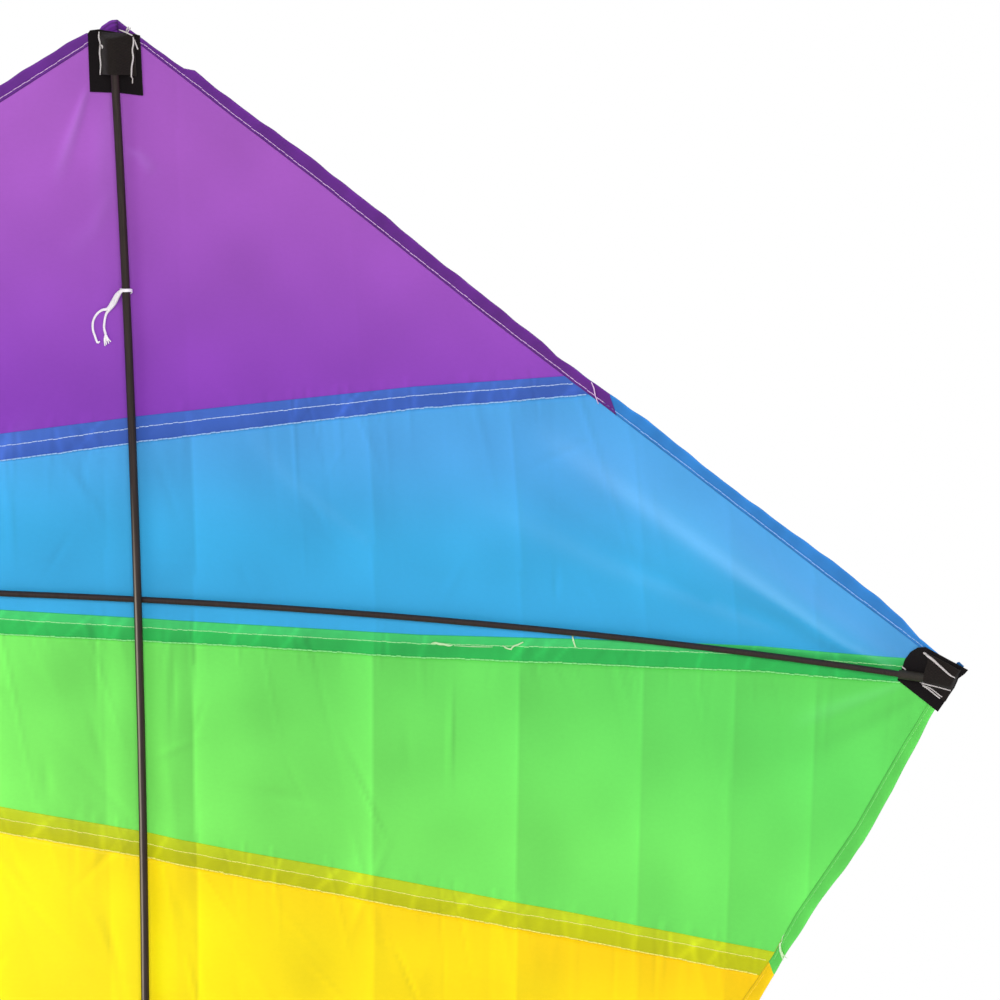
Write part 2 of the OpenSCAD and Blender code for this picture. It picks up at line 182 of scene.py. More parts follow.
def spar_y(x):
    return np.sqrt(SPAR_BOW_R**2 - x * x) - SPAR_BOW_R


def spine_y(z):
    return np.sqrt(SPINE_BOW_R**2 - z * z) - SPINE_BOW_R


def base_y(x, z):
    end = np.where(z > 0, NOSE, TAIL)
    return spar_y(x) + spine_y(z) + (spine_y(end) - TIP_BOW) * np.abs(x * z) / HALF / end


# How far each sewn seam strays down from its smooth line, by x
SEAM_STRAY = (((-438, 0), (-70, 0.9), (-15, 0.6), (60, -0.2), (150, -0.8), (235, 1.4)),
              ((-438, 0), (-75, -1.1), (20, 0.2), (145, 1.5), (225, -0.1), (325, -1.2), (395, 0.8)),
              ((-438, 0), (-75, -1.0), (20, 2.2), (150, 2.6), (245, 1.9), (330, 1.0)),
              ((-438, 0), (-120, 0.9), (0, -0.6), (130, 0.8), (300, 0)),
              ((-438, 0), (-80, -0.6), (40, 0.9), (200, 0)))


def seam_z(k, x):
    """The height of a seam's fold at x."""
    slope = math.tan(math.radians(SEAM_ANGLE[k]))
    return SEAM_Z[k] + slope * x + x * x / (2 * SEAM_SAG_R) - along(SEAM_STRAY[k], x)


def seam_drop(k, down, x):
    """The vertical distance at x that is down square to the seam. SEAM_ROWS place STITCH_1 and BAND_W."""
    places, first, width = zip(*SEAM_ROWS[k])
    first, width = np.interp(x, places, first), np.interp(x, places, width)
    beyond = (down - STITCH_1) / (BAND_W - STITCH_1)
    square = np.where(beyond < 0, down * first / STITCH_1, first + beyond * (width - first))
    return square / math.cos(math.radians(SEAM_ANGLE[k]))


# ---- relief of the cloth: waves, packing folds, dents, pulls from the corners and puckers by the seams ----
def random_waves(*kinds):
    """Waves of random length, heading and phase. Each kind: least and greatest length, depth and count."""
    return [(2 * math.pi / rng.uniform(low, high), rng.uniform(0, math.pi), rng.uniform(0, 6.28), depth)
            for low, high, depth, count in kinds for _ in range(count)]


def wavy(waves, x, z):
    return sum(depth * np.sin(f * (x * math.cos(a) + z * math.sin(a)) + p) for f, a, p, depth in waves)


WAVES = random_waves((110, 260, 0.07, 6), (26, 60, 0.03, 12))
# x where a fold crosses the spar, and the cloth's slope beside it: a ridge towards the rods' side above 0
FOLDS = ((-438, 0), (-398, 0.03), (-352, 0.035), (-296, 0.035), (-232, 0.04), (-160, 0.05), (-76, -0.07),
         (-19, -0.025), (27, -0.075), (121, 0.052), (199, 0.05), (265, 0.036), (314, 0.032), (358, 0.032),
         (396, 0), (438, 0))
FOLD_LEAN, FOLD_WANDER, FOLD_WANDER_LENGTH = 0.01, 1.2, 37.0
# Small soft dents from packing: x, z, angle, half length, half width, height
DENTS = [(rng.normal(side * 70, spread), rng.uniform(-560, 120), rng.normal(-1.0, 0.6), rng.uniform(8, 24),
          rng.uniform(1.4, 3.2), rng.uniform(-0.2, 0.2))
         for side, spread, count in ((1, 60, 130), (-1, 60, 130), (0, 200, 90)) for _ in range(count)]
FOLD_SHARE = {"purple": 0.05, "blue": 0.45, "green": 1.0, "yellow": 0.65, "orange": 0.7, "red": 0.6}
# x, z points, height, half width and shine of soft pulls on one side; those from the wings are mirrored
PULLS = (
    (((395, 2), (375, 9), (349, 24), (299, 52), (248, 82), (220, 98)), 0.4, 6.2, 0.11),
    (((395, 8), (340, 38), (270, 78), (215, 108)), 0.1, 16.0, 0.04),
    (((380, 8), (317, 17), (243, 37), (181, 62)), 0.15, 6.0, 0.035),
    (((394, -1), (360, 10), (318, 29)), -0.1, 6.0, -0.16),
    (((300, 24), (225, 62), (190, 88)), -0.1, 7.0, -0.05),
    (((118, 37), (80, 64), (56, 92)), 0.1, 5.0, 0.02),
    (((402, -6), (375, -17), (345, -31)), 0.15, 4.0, 0.03),
    (((408, -12), (386, -26), (352, -44)), -0.1, 6.0, -0.1),
    (((-17, 251), (-24, 232), (-33, 208)), 0.2, 3.0, 0.035),
    (((-6, 249), (-10, 225), (-12, 190)), 0.1, 6.0, 0.012),
    (((2, 222), (8, 221), (16, 213)), 0.2, 3.5, 0.035),
    (((-8, 200), (-16, 184), (-30, 170)), 0.1, 5.0, 0.012),
)
MOST_RELIEF = 1.7
# Along each seam: x, half width, height, lean and reach below the seam
PUCKERS = [[(x0, rng.uniform(1.1, 2.6), rng.uniform(-0.08, 0.12), rng.uniform(-0.1, 0.35),
             rng.uniform(8, 26) * rng.choice((1, 1, 1, 3)))
            for x0 in np.cumsum(rng.uniform(4, 13, 110)) - 440] for _ in SEAMS]


def near_line(x, z, line):
    """The distance to a line of x, z points, and how far along it the nearest point is, from 0 to 1."""
    best, nearest, done = np.full(x.shape, 1e9), np.zeros(x.shape), 0.0
    for a, b in zip(line, line[1:]):
        ux, uz = b[0] - a[0], b[1] - a[1]
        t = np.clip(((x - a[0]) * ux + (z - a[1]) * uz) / (ux * ux + uz * uz), 0, 1)
        d = np.hypot(x - a[0] - t * ux, z - a[1] - t * uz)
        nearest = np.where(d < best, done + t * math.dist(a, b), nearest)
        best = np.minimum(best, d)
        done += math.dist(a, b)
    return best, nearest / done


def fold_share(x, z):
    """How strong the packing folds are, panel by panel, with soft changes at the seams."""
    share = np.full(x.shape, FOLD_SHARE["purple"])
    for k, colour in enumerate(COLOURS[1:]):
        share = share + (FOLD_SHARE[colour] - share) * smooth((seam_z(k, x) - z) / 10)
    return share


def fold_lean(z):
    return FOLD_LEAN * z + FOLD_WANDER * np.sin(z / FOLD_WANDER_LENGTH)


def folds(x, z):
    """Cloth that sags between its packing folds, with a crease at each."""
    places, slopes = np.array(FOLDS).T
    at = np.clip(x - fold_lean(z), places[0], places[-1] - 0.01)
    i = np.searchsorted(places, at, "right") - 1
    span = places[i + 1] - places[i]
    u = (at - places[i]) / span
    return span * (slopes[i] * (u**3 - 2 * u**2 + u) - slopes[i + 1] * (u**3 - u**2))


def dents(x, z):
    y = np.zeros(x.shape)
    for x0, z0, angle, length, width, height in DENTS:
        near = (np.abs(x - x0) < 2.2 * length) & (np.abs(z - z0) < 2.2 * length)
        dx, dz = x[near] - x0, z[near] - z0
        ahead = dx * math.cos(angle) + dz * math.sin(angle)
        aside = dz * math.cos(angle) - dx * math.sin(angle)
        y[near] -= height * bell(ahead, length) * bell(aside, width)
    return y


def pulls(x, z):
    """Relief and shine of the pulls. The left side's are a little shorter than the right side's."""
    y, shine = np.zeros(x.shape), np.zeros(x.shape)
    for points, height, width, light in PULLS:
        for side, shorter in (((1, 0), (-1, 5)) if points[0][0] > 100 else ((1, 0),)):
            line = [(side * (px - shorter), pz - shorter * 0.6) for px, pz in points]
            d, share = near_line(x, z, line)
            strength = np.sin(math.pi * np.clip(share * 0.8 + 0.18, 0, 1)) ** 0.7
            local = width * (0.55 + 0.75 * share)
            y = y - height * strength * bell(d, local)
            shine = shine + light * strength * bell(d, local * 0.8)
    return y, shine


def puckers(x, z):
    y = np.zeros(x.shape)
    for k, row in enumerate(PUCKERS):
        below = seam_z(k, x) - z
        window = smooth((below + 7) / 5)
        for x0, width, height, lean, reach in row:
            if x.min() - 6 <= x0 <= x.max() + 6:
                strip = bell(x - x0 - lean * (below - 6), width)
                y = y - height * strip * window * bell(np.maximum(below - 8, 0), reach)
    return y


def relief(x, z):
    """How far the cloth strays from the sail's smooth shape."""
    share = fold_share(x, z)
    y = (wavy(WAVES, x, z) + dents(x, z)) * (0.3 + 0.7 * share) + folds(x, z) * share
    y = y + pulls(x, z)[0] + puckers(x, z)
    for cx, cz in CORNERS:
        y = y * smooth((np.hypot(x - cx, z - cz) - 20) / 24)
    # The rods hold the cloth flat along them.
    y = y * (0.2 + 0.8 * smooth((np.abs(z) - 3) / 20)) * (0.25 + 0.75 * smooth((np.abs(x) - 2) / 14))
    return np.clip(y, -MOST_RELIEF, MOST_RELIEF)


def on_cloth(x, z, lift=0.0):
    """Points on the cloth, lifted towards the rods' side."""
    x, z = np.broadcast_arrays(np.asarray(x, float), np.asarray(z, float))
    ramp = np.max([1 - smooth((np.hypot(x - cx, z - cz) - 42) / 40) for cx, cz in CORNERS], 0)
    y = base_y(x, z) + CLOTH_OFF + (CORNER_OFF - CLOTH_OFF) * ramp + relief(x, z)
    return np.stack([x, y - lift, z], -1)


# ---- the sewn edges ----
# How far each edge strays out from the straight line between the corners, by distance from the spine
TIP_STRAY = ((406, -1.4), (414, -4.6), (432.4, -5), (433.6, -1.4), (435, -0.8), (436.4, -1.5), (438, -0.9))
LEAD_STRAY = ((0, -2.4), (4, -2.5), (8, -2.6), (12, -2.4), (15, -2.2), (21, -2.3), (35, -1.4), (41, 1.3),
              (47, 0.7), (102, 2.5), (138, 1.9), (166, 0.4), (222, -0.8), (229, -2.3), (276, 0), (320, -1.2),
              (372, 0.8), (394, 0.1)) + TIP_STRAY
LEAD_STRAY_LEFT = ((0, -2.4), (3, -1.0), (8, -1.2), (9, -2.8), (13, -2.4), (13.9, -0.1), (16, 0.3),
                   (25, 1.0), (100, 1.4), (180, -0.4), (260, 0.8), (340, -1), (396, 0.4)) + TIP_STRAY
TRAIL_STRAY = ((0, 0), (110, 0.6), (200, -0.6), (330, 0.4), (346, -0.4), (364, 0), (385, 2.7), (400, 1.4),
               (410, -0.6), (418, -2.2), (438, -2.4))
# How far in from the straight line the inner edge of a hem runs
LEAD_HEM_IN = ((0, 11), (9, 9), (15, 5.4), (110, 5.6), (200, 8.2), (438, 8.4))
TRAIL_HEM_IN = ((0, 6.8), (325, 6.8), (342, 5.4), (356, 6.8), (385, 4.6), (410, 6.4), (438, 6.4))
LEAD_SLOPE = (TIP_RISE - NOSE) / HALF
TRAIL_SLOPE = (TIP_RISE + TAIL) / HALF


def ragged(d):
    return 0.14 * np.sin(d / 3.1) + 0.12 * np.sin(d / 7.3 + 1) + 0.1 * np.sin(d / 1.9 + 2)


def straight_edge(lead, x):
    if lead:
        return NOSE + LEAD_SLOPE * np.abs(x)
    u = np.abs(x) / HALF
    return -TAIL + TRAIL_SLOPE * HALF * u - SWELL * 4 * u * (1 - u)


def edge_z(lead, x):
    d = np.abs(x)
    rough = ragged(d + (0 if lead else 40)) * np.clip(d / 30, 0, 1) * np.clip((HALF - d) / 30, 0, 1)
    if lead:
        stray = np.where(x >= 0, along(LEAD_STRAY, d), along(LEAD_STRAY_LEFT, d)) + rough
        return np.minimum(straight_edge(True, x) + stray * math.hypot(1, LEAD_SLOPE), NOSE_TOP - d * 0.1)
    stray = along(TRAIL_STRAY, d) + rough
    return np.maximum(straight_edge(False, x) - stray * math.hypot(1, TRAIL_SLOPE), TAIL_LOW)


def hem_inner_z(lead, x):
    """The height of a hem's inner edge over or under a point."""
    slope, table, sign = (LEAD_SLOPE, LEAD_HEM_IN, -1) if lead else (TRAIL_SLOPE, TRAIL_HEM_IN, 1)
    return straight_edge(lead, x) + sign * along(table, np.abs(x)) * math.hypot(1, slope)


def sewn_z(k, x):
    return seam_z(k, x) - seam_drop(k, BAND_W, x)


def panel_top(k, x):
    return edge_z(True, x) if k == 0 else np.minimum(edge_z(True, x), sewn_z(k - 1, x))


def panel_low(k, x):
    return edge_z(False, x) if k == len(SEAMS) else np.maximum(edge_z(False, x), sewn_z(k, x))


# ---- meshes ----
def linear(rgb):
    v = np.asarray(rgb, float) / 255
    return np.where(v <= 0.04045, v / 12.92, ((v + 0.055) / 1.055) ** 2.4)


def make_mesh(name, solid, material, body="kite", sharp=None, tint=None):
    """A piece from vertices in mm and faces; tint is a linear colour for each vertex."""
    verts, faces = solid
    mesh = bpy.data.meshes.new(name)
    mesh.from_pydata((np.asarray(verts, float) * MM).tolist(), [], faces)
    if tint is not None:
        layer = mesh.color_attributes.new("tint", "FLOAT_COLOR", "POINT")
        rgba = np.concatenate([np.clip(tint, 0, 1), np.ones((len(tint), 1))], 1)
        layer.data.foreach_set("color", rgba.astype(np.float32).ravel())
    mesh.validate()
    mesh.update()
    mesh.shade_smooth()
    if sharp is not None:
        mesh.set_sharp_from_angle(angle=math.radians(sharp))
    mesh.materials.append(material)
    obj = linked(name, mesh)
    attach(obj, body)
    return obj


def stands_for(obj, node):
    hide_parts(node)
    return obj


def slab(back, front):
    """The closed solid between two grids of points."""
    nu, nv = back.shape[:2]
    n = nu * nv
    at = np.arange(n).reshape(nu, nv)
    quads = np.stack([at[:-1, :-1], at[:-1, 1:], at[1:, 1:], at[1:, :-1]], -1).reshape(-1, 4)
    rim = np.concatenate([at[:-1, 0], at[-1, :-1], at[:0:-1, -1], at[0, :0:-1]])
    after = np.roll(rim, -1)
    sides = np.stack([rim, after, n + after, n + rim], -1)
    verts = np.concatenate([back.reshape(-1, 3), front.reshape(-1, 3)])
    return verts, np.concatenate([quads, n + quads[:, ::-1], sides]).tolist()


def unit(v):
    v = np.asarray(v, float)
    return v / np.maximum(np.linalg.norm(v, axis=-1, keepdims=True), 1e-9)


def run_of(line):
    """How far along a line each of its points lies."""
    return np.concatenate([[0], np.cumsum(np.linalg.norm(np.diff(line, axis=0), axis=1))])


def smooth_line(points, step):
    """A smooth line through points of any number of values, with steps of about that length."""
    p = np.asarray(points, float)
    ext = np.concatenate([[2 * p[0] - p[1]], p, [2 * p[-1] - p[-2]]])
    out = []
    for a, b, c, d in zip(ext, ext[1:], ext[2:], ext[3:]):
        n = max(1, math.ceil(np.linalg.norm((c - b)[:3]) / step))
        t = (np.arange(n) / n)[:, None]
        out.append(0.5 * (2 * b + (c - a) * t + (2 * a - 5 * b + 4 * c - d) * t**2
                          + (3 * b - a - 3 * c + d) * t**3))
    return np.concatenate(out + [p[-1:]])


STRAND_TWIST, STRAND_DEPTH = 0.32, 0.14


def tube(path, radius, sides=8, strands=0):
    """A closed tube along a path. Strands, twisted by STRAND_TWIST turns a mm, make it a laid line."""
    path = np.asarray(path, float)
    n = len(path)
    tangent = unit(np.gradient(path, axis=0))
    side = np.zeros_like(path)
    last = np.array([1.0, 0.02, 0.01])
    for i in range(n):
        last = unit(last - tangent[i] * (last @ tangent[i]))
        side[i] = last
    other = np.cross(tangent, side)
    a = 2 * math.pi * np.arange(sides) / sides
    r = np.broadcast_to(np.asarray(radius, float), (n,))[:, None] * np.ones(sides)
    if strands:
        twisted = a - 2 * math.pi * STRAND_TWIST * run_of(path)[:, None]
        r = r * (1 - STRAND_DEPTH + STRAND_DEPTH * np.abs(np.cos(strands * twisted / 2)))
    ring = side[:, None] * np.cos(a)[:, None] + other[:, None] * np.sin(a)[:, None]
    verts = path[:, None] + r[..., None] * ring
    at = np.arange(n * sides).reshape(n, sides)
    after = np.roll(at, -1, axis=1)
    quads = np.stack([at[:-1], after[:-1], after[1:], at[1:]], -1).reshape(-1, 4)
    return verts.reshape(-1, 3), quads.tolist() + [at[0, ::-1].tolist(), at[-1].tolist()]


def join(solids):
    verts, faces, n = [], [], 0
    for v, f in solids:
        verts.append(np.asarray(v, float))
        faces.extend([[i + n for i in q] for q in f])
        n += len(v)
    return np.concatenate(verts), faces


# ---- materials ----
class Nodes:
    """Short ways to add nodes to a tree. A value is a constant or another node's socket."""

    def __init__(self, tree):
        self.tree = tree

    def feed(self, node, values):
        for key, value in values.items():
            if isinstance(value, bpy.types.NodeSocket):
                self.tree.links.new(value, node.inputs[key])
            else:
                node.inputs[key].default_value = value

    def add(self, kind, values=None):
        node = self.tree.nodes.new("ShaderNode" + kind)
        self.feed(node, values or {})
        return node

    def math(self, operation, *values):
        node = self.add("Math", dict(enumerate(values)))
        node.operation = operation
        return node.outputs[0]

    def total(self, first, share, second, second_share):
        return self.math("MULTIPLY_ADD", first, share, self.math("MULTIPLY", second, second_share))

    def spot(self, space="Object"):
        return self.add("TexCoord").outputs[space]

    def part(self, vector, axis):
        return self.add("SeparateXYZ", {0: vector}).outputs[axis]

    def mixed(self, share, first, second, blend="MIX"):
        node = self.add("Mix")
        node.data_type = "RGBA"
        node.blend_type = blend
        self.feed(node, {"Factor": share, "A": first, "B": second})
        return node.outputs["Result"]

    def shown(self):
        """1 for rays whose background shows: from the camera, and mirrored or let through."""
        path = self.add("LightPath").outputs
        mirrored = self.math("MAXIMUM", path["Is Camera Ray"], path["Is Glossy Ray"])
        return self.math("MAXIMUM", mirrored, path["Is Transmission Ray"])


class Shader(Nodes):
    """A Principled material. Colours are sRGB from 0 to 255."""

    def __init__(self, name, rgb, rough, **constant):
        self.material = bpy.data.materials.new(name)
        self.material.use_nodes = True
        super().__init__(self.material.node_tree)
        self.rgb = linear(rgb)
        self.material.diffuse_color = (*self.rgb, 1)
        self.surface = self.tree.nodes["Principled BSDF"]
        self.feed(self.surface, {"Base Color": (*self.rgb, 1), "Roughness": rough})
        self.feed(self.surface, {key.replace("_", " "): value for key, value in constant.items()})

    def noise(self, scale, stretch=(1, 1, 1), detail=3.0, rough=0.5):
        place_on = self.add("Mapping", {"Scale": stretch, "Vector": self.spot()}).outputs["Vector"]
        values = {"Scale": scale, "Detail": detail, "Roughness": rough, "Vector": place_on}
        return self.add("TexNoise", values).outputs["Fac"]

    def weave(self, pitch_x, pitch_z):
        """Two crossed sets of threads, from 0 to 1. The pitches are in metres."""
        spot = self.spot()
        sx, sz = (self.math("SINE", self.math("MULTIPLY", self.part(spot, axis), 2 * math.pi / pitch))
                  for axis, pitch in (("X", pitch_x), ("Z", pitch_z)))
        return self.math("MULTIPLY_ADD", self.math("MULTIPLY", sx, sz), 0.5, 0.5)

    def ramp(self, fac, low, high):
        node = self.add("ValToRGB", {"Fac": fac})
        for stop, position, colour in zip(node.color_ramp.elements, (0.3, 0.7), (low, high)):
            stop.position = position
            stop.color = (*np.clip(colour, 0, 1), 1)
        return node.outputs["Color"]

    def vary(self, fac, low, high):
        """The plain colour, from low to high times as light."""
        self.feed(self.surface, {"Base Color": self.ramp(fac, self.rgb * low, self.rgb * high)})

    def vary_tint(self, fac, low, high):
        """The piece's own vertex colours, from low to high times as light."""
        tint = self.add("Attribute")
        tint.attribute_name = "tint"
        shade = self.ramp(fac, np.full(3, low), np.full(3, high))
        self.feed(self.surface, {"Base Color": self.mixed(1.0, tint.outputs["Color"], shade, "MULTIPLY")})

    def vary_rough(self, fac, spread, least):
        self.feed(self.surface, {"Roughness": self.math("MULTIPLY_ADD", fac, spread, least)})

    def bump(self, height, strength, distance):
        node = self.add("Bump", {"Strength": strength, "Distance": distance, "Height": height})
        self.feed(self.surface, {"Normal": node.outputs["Normal"]})


def cloth_material(name, rgb):
    """Thin woven polyester: crossed threads, a soft sheen and small changes of shade."""
    s = Shader(name, rgb, 0.46, Specular_IOR_Level=0.22, Sheen_Weight=0.05, Sheen_Roughness=0.45)
    s.vary_tint(s.total(s.noise(26.0), 0.5, s.noise(420.0, (1, 1, 1.6)), 0.5), 0.955, 1.0)
    s.vary_rough(s.noise(30.0), 0.16, 0.38)
    s.bump(s.total(s.weave(0.0009, 0.0009), 0.5, s.noise(300.0, (1, 1, 2.2)), 0.6), 0.2, 0.0002)
    return s.material


def webbing_material(name, rgb):
    s = Shader(name, rgb, 0.85, Specular_IOR_Level=0.12, Sheen_Weight=0.06, Sheen_Roughness=0.5)
    ribs, fuzz = s.weave(0.0022, 0.0014), s.noise(900.0, rough=0.7)
    s.vary(s.total(ribs, 0.25, fuzz, 0.75), 0.75, 1.3)
    s.bump(s.math("MULTIPLY_ADD", ribs, 0.4, fuzz), 0.4, 0.0003)
    return s.material


# The spine's painted highlight, a paler line: the x of the normal it faces, its half width, the height in
# metres below which it shows, and the metres over which it fades in
GLEAM_X, GLEAM_HALF, GLEAM_TOP, GLEAM_FADE = -0.22, 0.24, 0.06, 0.07
GLEAM_RGB = (186, 172, 158)


def streaked_material(name, rgb, gleam=0.0):
    """Pulled fibreglass rod with streaks along it. Gleam is the strength of a painted highlight, a paler line
    low on its left.
    """
    s = Shader(name, rgb, 0.42, Specular_IOR_Level=0.2)
    streaks = s.noise(30.0, (40, 40, 1.2), 4.0, 0.65)
    colour = s.ramp(streaks, s.rgb * 0.55, s.rgb * 1.3)
    if gleam:
        facing = s.part(s.spot("Normal"), "X")
        off = s.math("MULTIPLY_ADD", facing, 1 / GLEAM_HALF, -GLEAM_X / GLEAM_HALF)
        line = s.math("EXPONENT", s.math("MULTIPLY", s.math("MULTIPLY", off, off), -1.0))
        low = s.math("MULTIPLY_ADD", s.part(s.spot(), "Z"), -1 / GLEAM_FADE, GLEAM_TOP / GLEAM_FADE)
        low.node.use_clamp = True
        grainy = s.math("MULTIPLY", s.math("MULTIPLY", line, low), s.math("MULTIPLY_ADD", streaks, 0.7, 0.5))
        colour = s.mixed(s.math("MULTIPLY", grainy, gleam), colour, (*linear(GLEAM_RGB), 1))
    s.feed(s.surface, {"Base Color": colour})
    s.vary_rough(streaks, 0.2, 0.3)
    s.bump(streaks, 0.12, 0.0002)
    return s.material


def plain_material(name, rgb, rough, scale, low, high, strength=0.3, **constant):
    """A material that varies a little with fine noise, such as vinyl, thread or metal."""
    s = Shader(name, rgb, rough, **constant)
    fine = s.noise(scale, rough=0.6)
    s.vary(fine, low, high)
    s.bump(fine, strength, 0.0001)
    return s.material


# Each panel's colour at its top and its foot against the light, its hem's, and those of its three threads
SAIL_RGB = {
    "purple": ((160, 85, 186), (127, 54, 176), (96, 34, 132),
               (226, 190, 230), (196, 150, 206), (226, 190, 230)),
    "blue": ((73, 155, 218), (52, 163, 218), (46, 128, 206),
             (192, 212, 244), (160, 198, 240), (158, 194, 236)),
    "green": ((93, 205, 88), (128, 232, 94), (94, 206, 86),
              (170, 236, 166), (146, 236, 146), (134, 222, 124)),
    "yellow": ((244, 198, 4), (254, 231, 4), (244, 202, 8),
               (240, 238, 130), (252, 242, 118), (250, 214, 56)),
    "orange": ((250, 160, 30), (250, 142, 28), (240, 122, 20),
               (252, 214, 160), (250, 190, 110), (248, 160, 60)),
    "red": ((228, 60, 44), (214, 42, 38), (190, 30, 32),
            (240, 176, 166), (232, 130, 110), (214, 84, 74)),
}
HEM, THREAD, SOFT_THREAD, HEM_THREAD = 2, 3, 4, 5
# Each seam's colour above its first row of stitches and below it, and on the front
BAND_RGB = (((60, 98, 184), (54, 90, 176)), ((62, 191, 102), (42, 172, 78)), ((184, 198, 26), (184, 187, 8)),
            ((248, 178, 22), (238, 160, 14)), ((232, 92, 34), (214, 68, 26)))
FRONT_BAND_RGB = ((104, 72, 180), (58, 168, 160), (136, 208, 48), (240, 196, 24), (230, 104, 30))


def thread_material(name, rgb, scale=1800.0, low=0.88, high=1.03, gloss=0.2):
    return plain_material(name, rgb, 0.6, scale, low, high, Specular_IOR_Level=gloss)


def sewing(word, column):
    return {c: thread_material(f"{word}_{c}", SAIL_RGB[c][column], 2500.0, 0.9, 1.05) for c in COLOURS}


cloths = {c: cloth_material(f"cloth_{c}", SAIL_RGB[c][0]) for c in COLOURS}
threads = sewing("thread", THREAD)
soft_threads = sewing("thread_soft", SOFT_THREAD)
hem_threads = sewing("thread_hem", HEM_THREAD)
thread_pale = thread_material("thread_pale", (206, 236, 186))
thread_heavy = thread_material("thread_heavy", (206, 199, 198), 1500.0, 0.85, 1.05)
line_cloth = thread_material("bridle_line", (246, 241, 246), gloss=0.25)
vinyl = thread_material("cap_vinyl", (46, 42, 37), 400.0, 0.85, 1.15)
webbing = webbing_material("webbing", (28, 23, 21))
# A copy of the webbing with painted shade, for the pockets' bases under their flaps.
webbing_painted_shade = webbing_material("webbing_painted_shade", (13, 8, 10))
rod = streaked_material("fibreglass", (46, 35, 33))
# The spine's copy carries a painted highlight low on its left side.
spine_rod = streaked_material("fibreglass_painted_highlight", (46, 35, 33), 0.75)
metal = plain_material("ring_metal", (218, 219, 222), 0.24, 700.0, 0.9, 1.0, 0.1, Metallic=1.0)

# ---- the sail's panels ----
CELL_X, CELL_Z = ((1.9, 3.0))
# Where the light comes from, how much lighter a slope towards it looks, and the most that this may add
LIGHT_X, LIGHT_Z, SHADE, MOST_SHADE = 0.8, 0.35, 2.6, 0.2
SLOPE_STEP = 0.5
# How much lighter a crease looks for its slope, and the distance over which that fades
CREASE_SHARE, CREASE_REACH = 1.4, 4.0
# How much a pull's shine adds to each channel
SHINE_RGB = np.array([0.6, 0.8, 1.1])
# Random waves of lighter and darker tone over the cloth: least and greatest length, strength and count
MOTTLE = random_waves((30, 110, 0.011, 9))


def crease_light(x, z):
    """How much lighter the cloth is just beside a fold's crease, on the side that turns to the light."""
    light = 0
    for place_x, slope in FOLDS:
        away = (place_x - x + fold_lean(z)) * math.copysign(1, slope)
        light = light + CREASE_SHARE * abs(slope) * np.where(away >= 0, np.exp(-away / CREASE_REACH), 0)
    return light * np.sqrt(fold_share(x, z))


def shaded(x, z):
    """How much lighter the cloth is painted where its relief turns to the light that comes through it, with a
    random mottle, painted light towards the wing tips and painted highlights beside the creases.
    """
    dx, dz = ((relief(x + sx, z + sz) - relief(x - sx, z - sz)) / (2 * SLOPE_STEP)
              for sx, sz in ((SLOPE_STEP, 0), (0, SLOPE_STEP)))
    slope_light = np.clip(SHADE * (LIGHT_Z * dz - LIGHT_X * dx), -MOST_SHADE, MOST_SHADE)
    # Painted light: the cloth grows lighter out towards the wing tips, less so low down and along the spar.
    wing = 0.24 * np.abs(x) / HALF * smooth((z + 200) / 90) * (1 - 0.7 * bell(z + 5, 50))
    return slope_light + wavy(MOTTLE, x, z) + wing + crease_light(x, z)


def cloth_slab(name, x, z, lift, under, rgb, material, sharp=None):
    """A closed slab on the sail, between two lifts towards the rods' side, with a colour for each point."""
    x, y, z = np.moveaxis(on_cloth(x, z), -1, 0)
    solid = slab(*(np.stack([x, y - off, z], -1) for off in (lift, under)))
    return make_mesh(name, solid, material, sharp=sharp, tint=np.concatenate([rgb.reshape(-1, 3)] * 2))


def thin_cloth(name, x, z, lift, under, rgb, fade, material, extra=0.0, sharp=None):
    """A slab of cloth with the sail's shading: rgb at the top and the foot, mixed by fade."""
    shine = pulls(x, z)[1][..., None]
    top, foot = linear(rgb[0]), linear(rgb[1])
    shade = np.clip(1 + np.minimum(shine, 0) + (shaded(x, z) + extra)[..., None], 0.3, 2)
    colour = (top + (foot - top) * fade[..., None]) * shade + np.maximum(shine, 0) * SHINE_RGB
    return cloth_slab(name, x, z, lift, under, colour, material, sharp)


def below_seam(k, x, z, reach):
    return np.clip((seam_z(k, x) - BAND_W - z) / reach, 0, 1)


def blue_fade(x, z):
    """The blue is paler above a soft line that drops to the tips."""
    middle = np.minimum(61, 4 + 0.52 * (396 - np.abs(x)))
    half = 10 + 25 * smooth((middle - 20) / 41)
    return smooth((middle + half - z) / (2 * half))


FADES = {
    "purple": lambda x, z: smooth((265 - z + 0.04 * np.abs(x)) / 200) ** 1.3,
    "blue": blue_fade,
    "green": lambda x, z: np.clip(0.4 + below_seam(1, x, z, 90) * 0.3 - x / 650, 0, 1),
    "yellow": lambda x, z: np.clip(below_seam(2, x, z, 26) * 0.35 + 0.65 - x / 480, 0, 1),
    "orange": lambda x, z: below_seam(3, x, z, 90),
    "red": lambda x, z: below_seam(4, x, z, 180),
}
# A panel ends where it is lower than this
PANEL_LEAST = 0.5


def make_panel(k, colour):
    x = np.arange(-HALF, HALF + 0.05, 0.1)
    inside = x[panel_top(k, x) - panel_low(k, x) > PANEL_LEAST]
    count = math.ceil((inside.max() - inside.min()) / CELL_X)
    xs = np.unique(np.concatenate([np.linspace(inside.min(), inside.max(), count + 1), [0.0]]))
    low, top = panel_low(k, xs), panel_top(k, xs)
    rows = math.ceil((top - low).max() / CELL_Z)
    z = low[:, None] + (top - low)[:, None] * np.linspace(0, 1, rows + 1)
    x = np.broadcast_to(xs[:, None], z.shape)
    fade = FADES[colour](x, z)
    obj = thin_cloth(f"panel_{colour}", x, z, 0.0, -CLOTH_T, SAIL_RGB[colour], fade, cloths[colour])
    stands_for(obj, f"sail_{colour}")
    return obj


panels = [make_panel(k, colour) for k, colour in enumerate(COLOURS)]

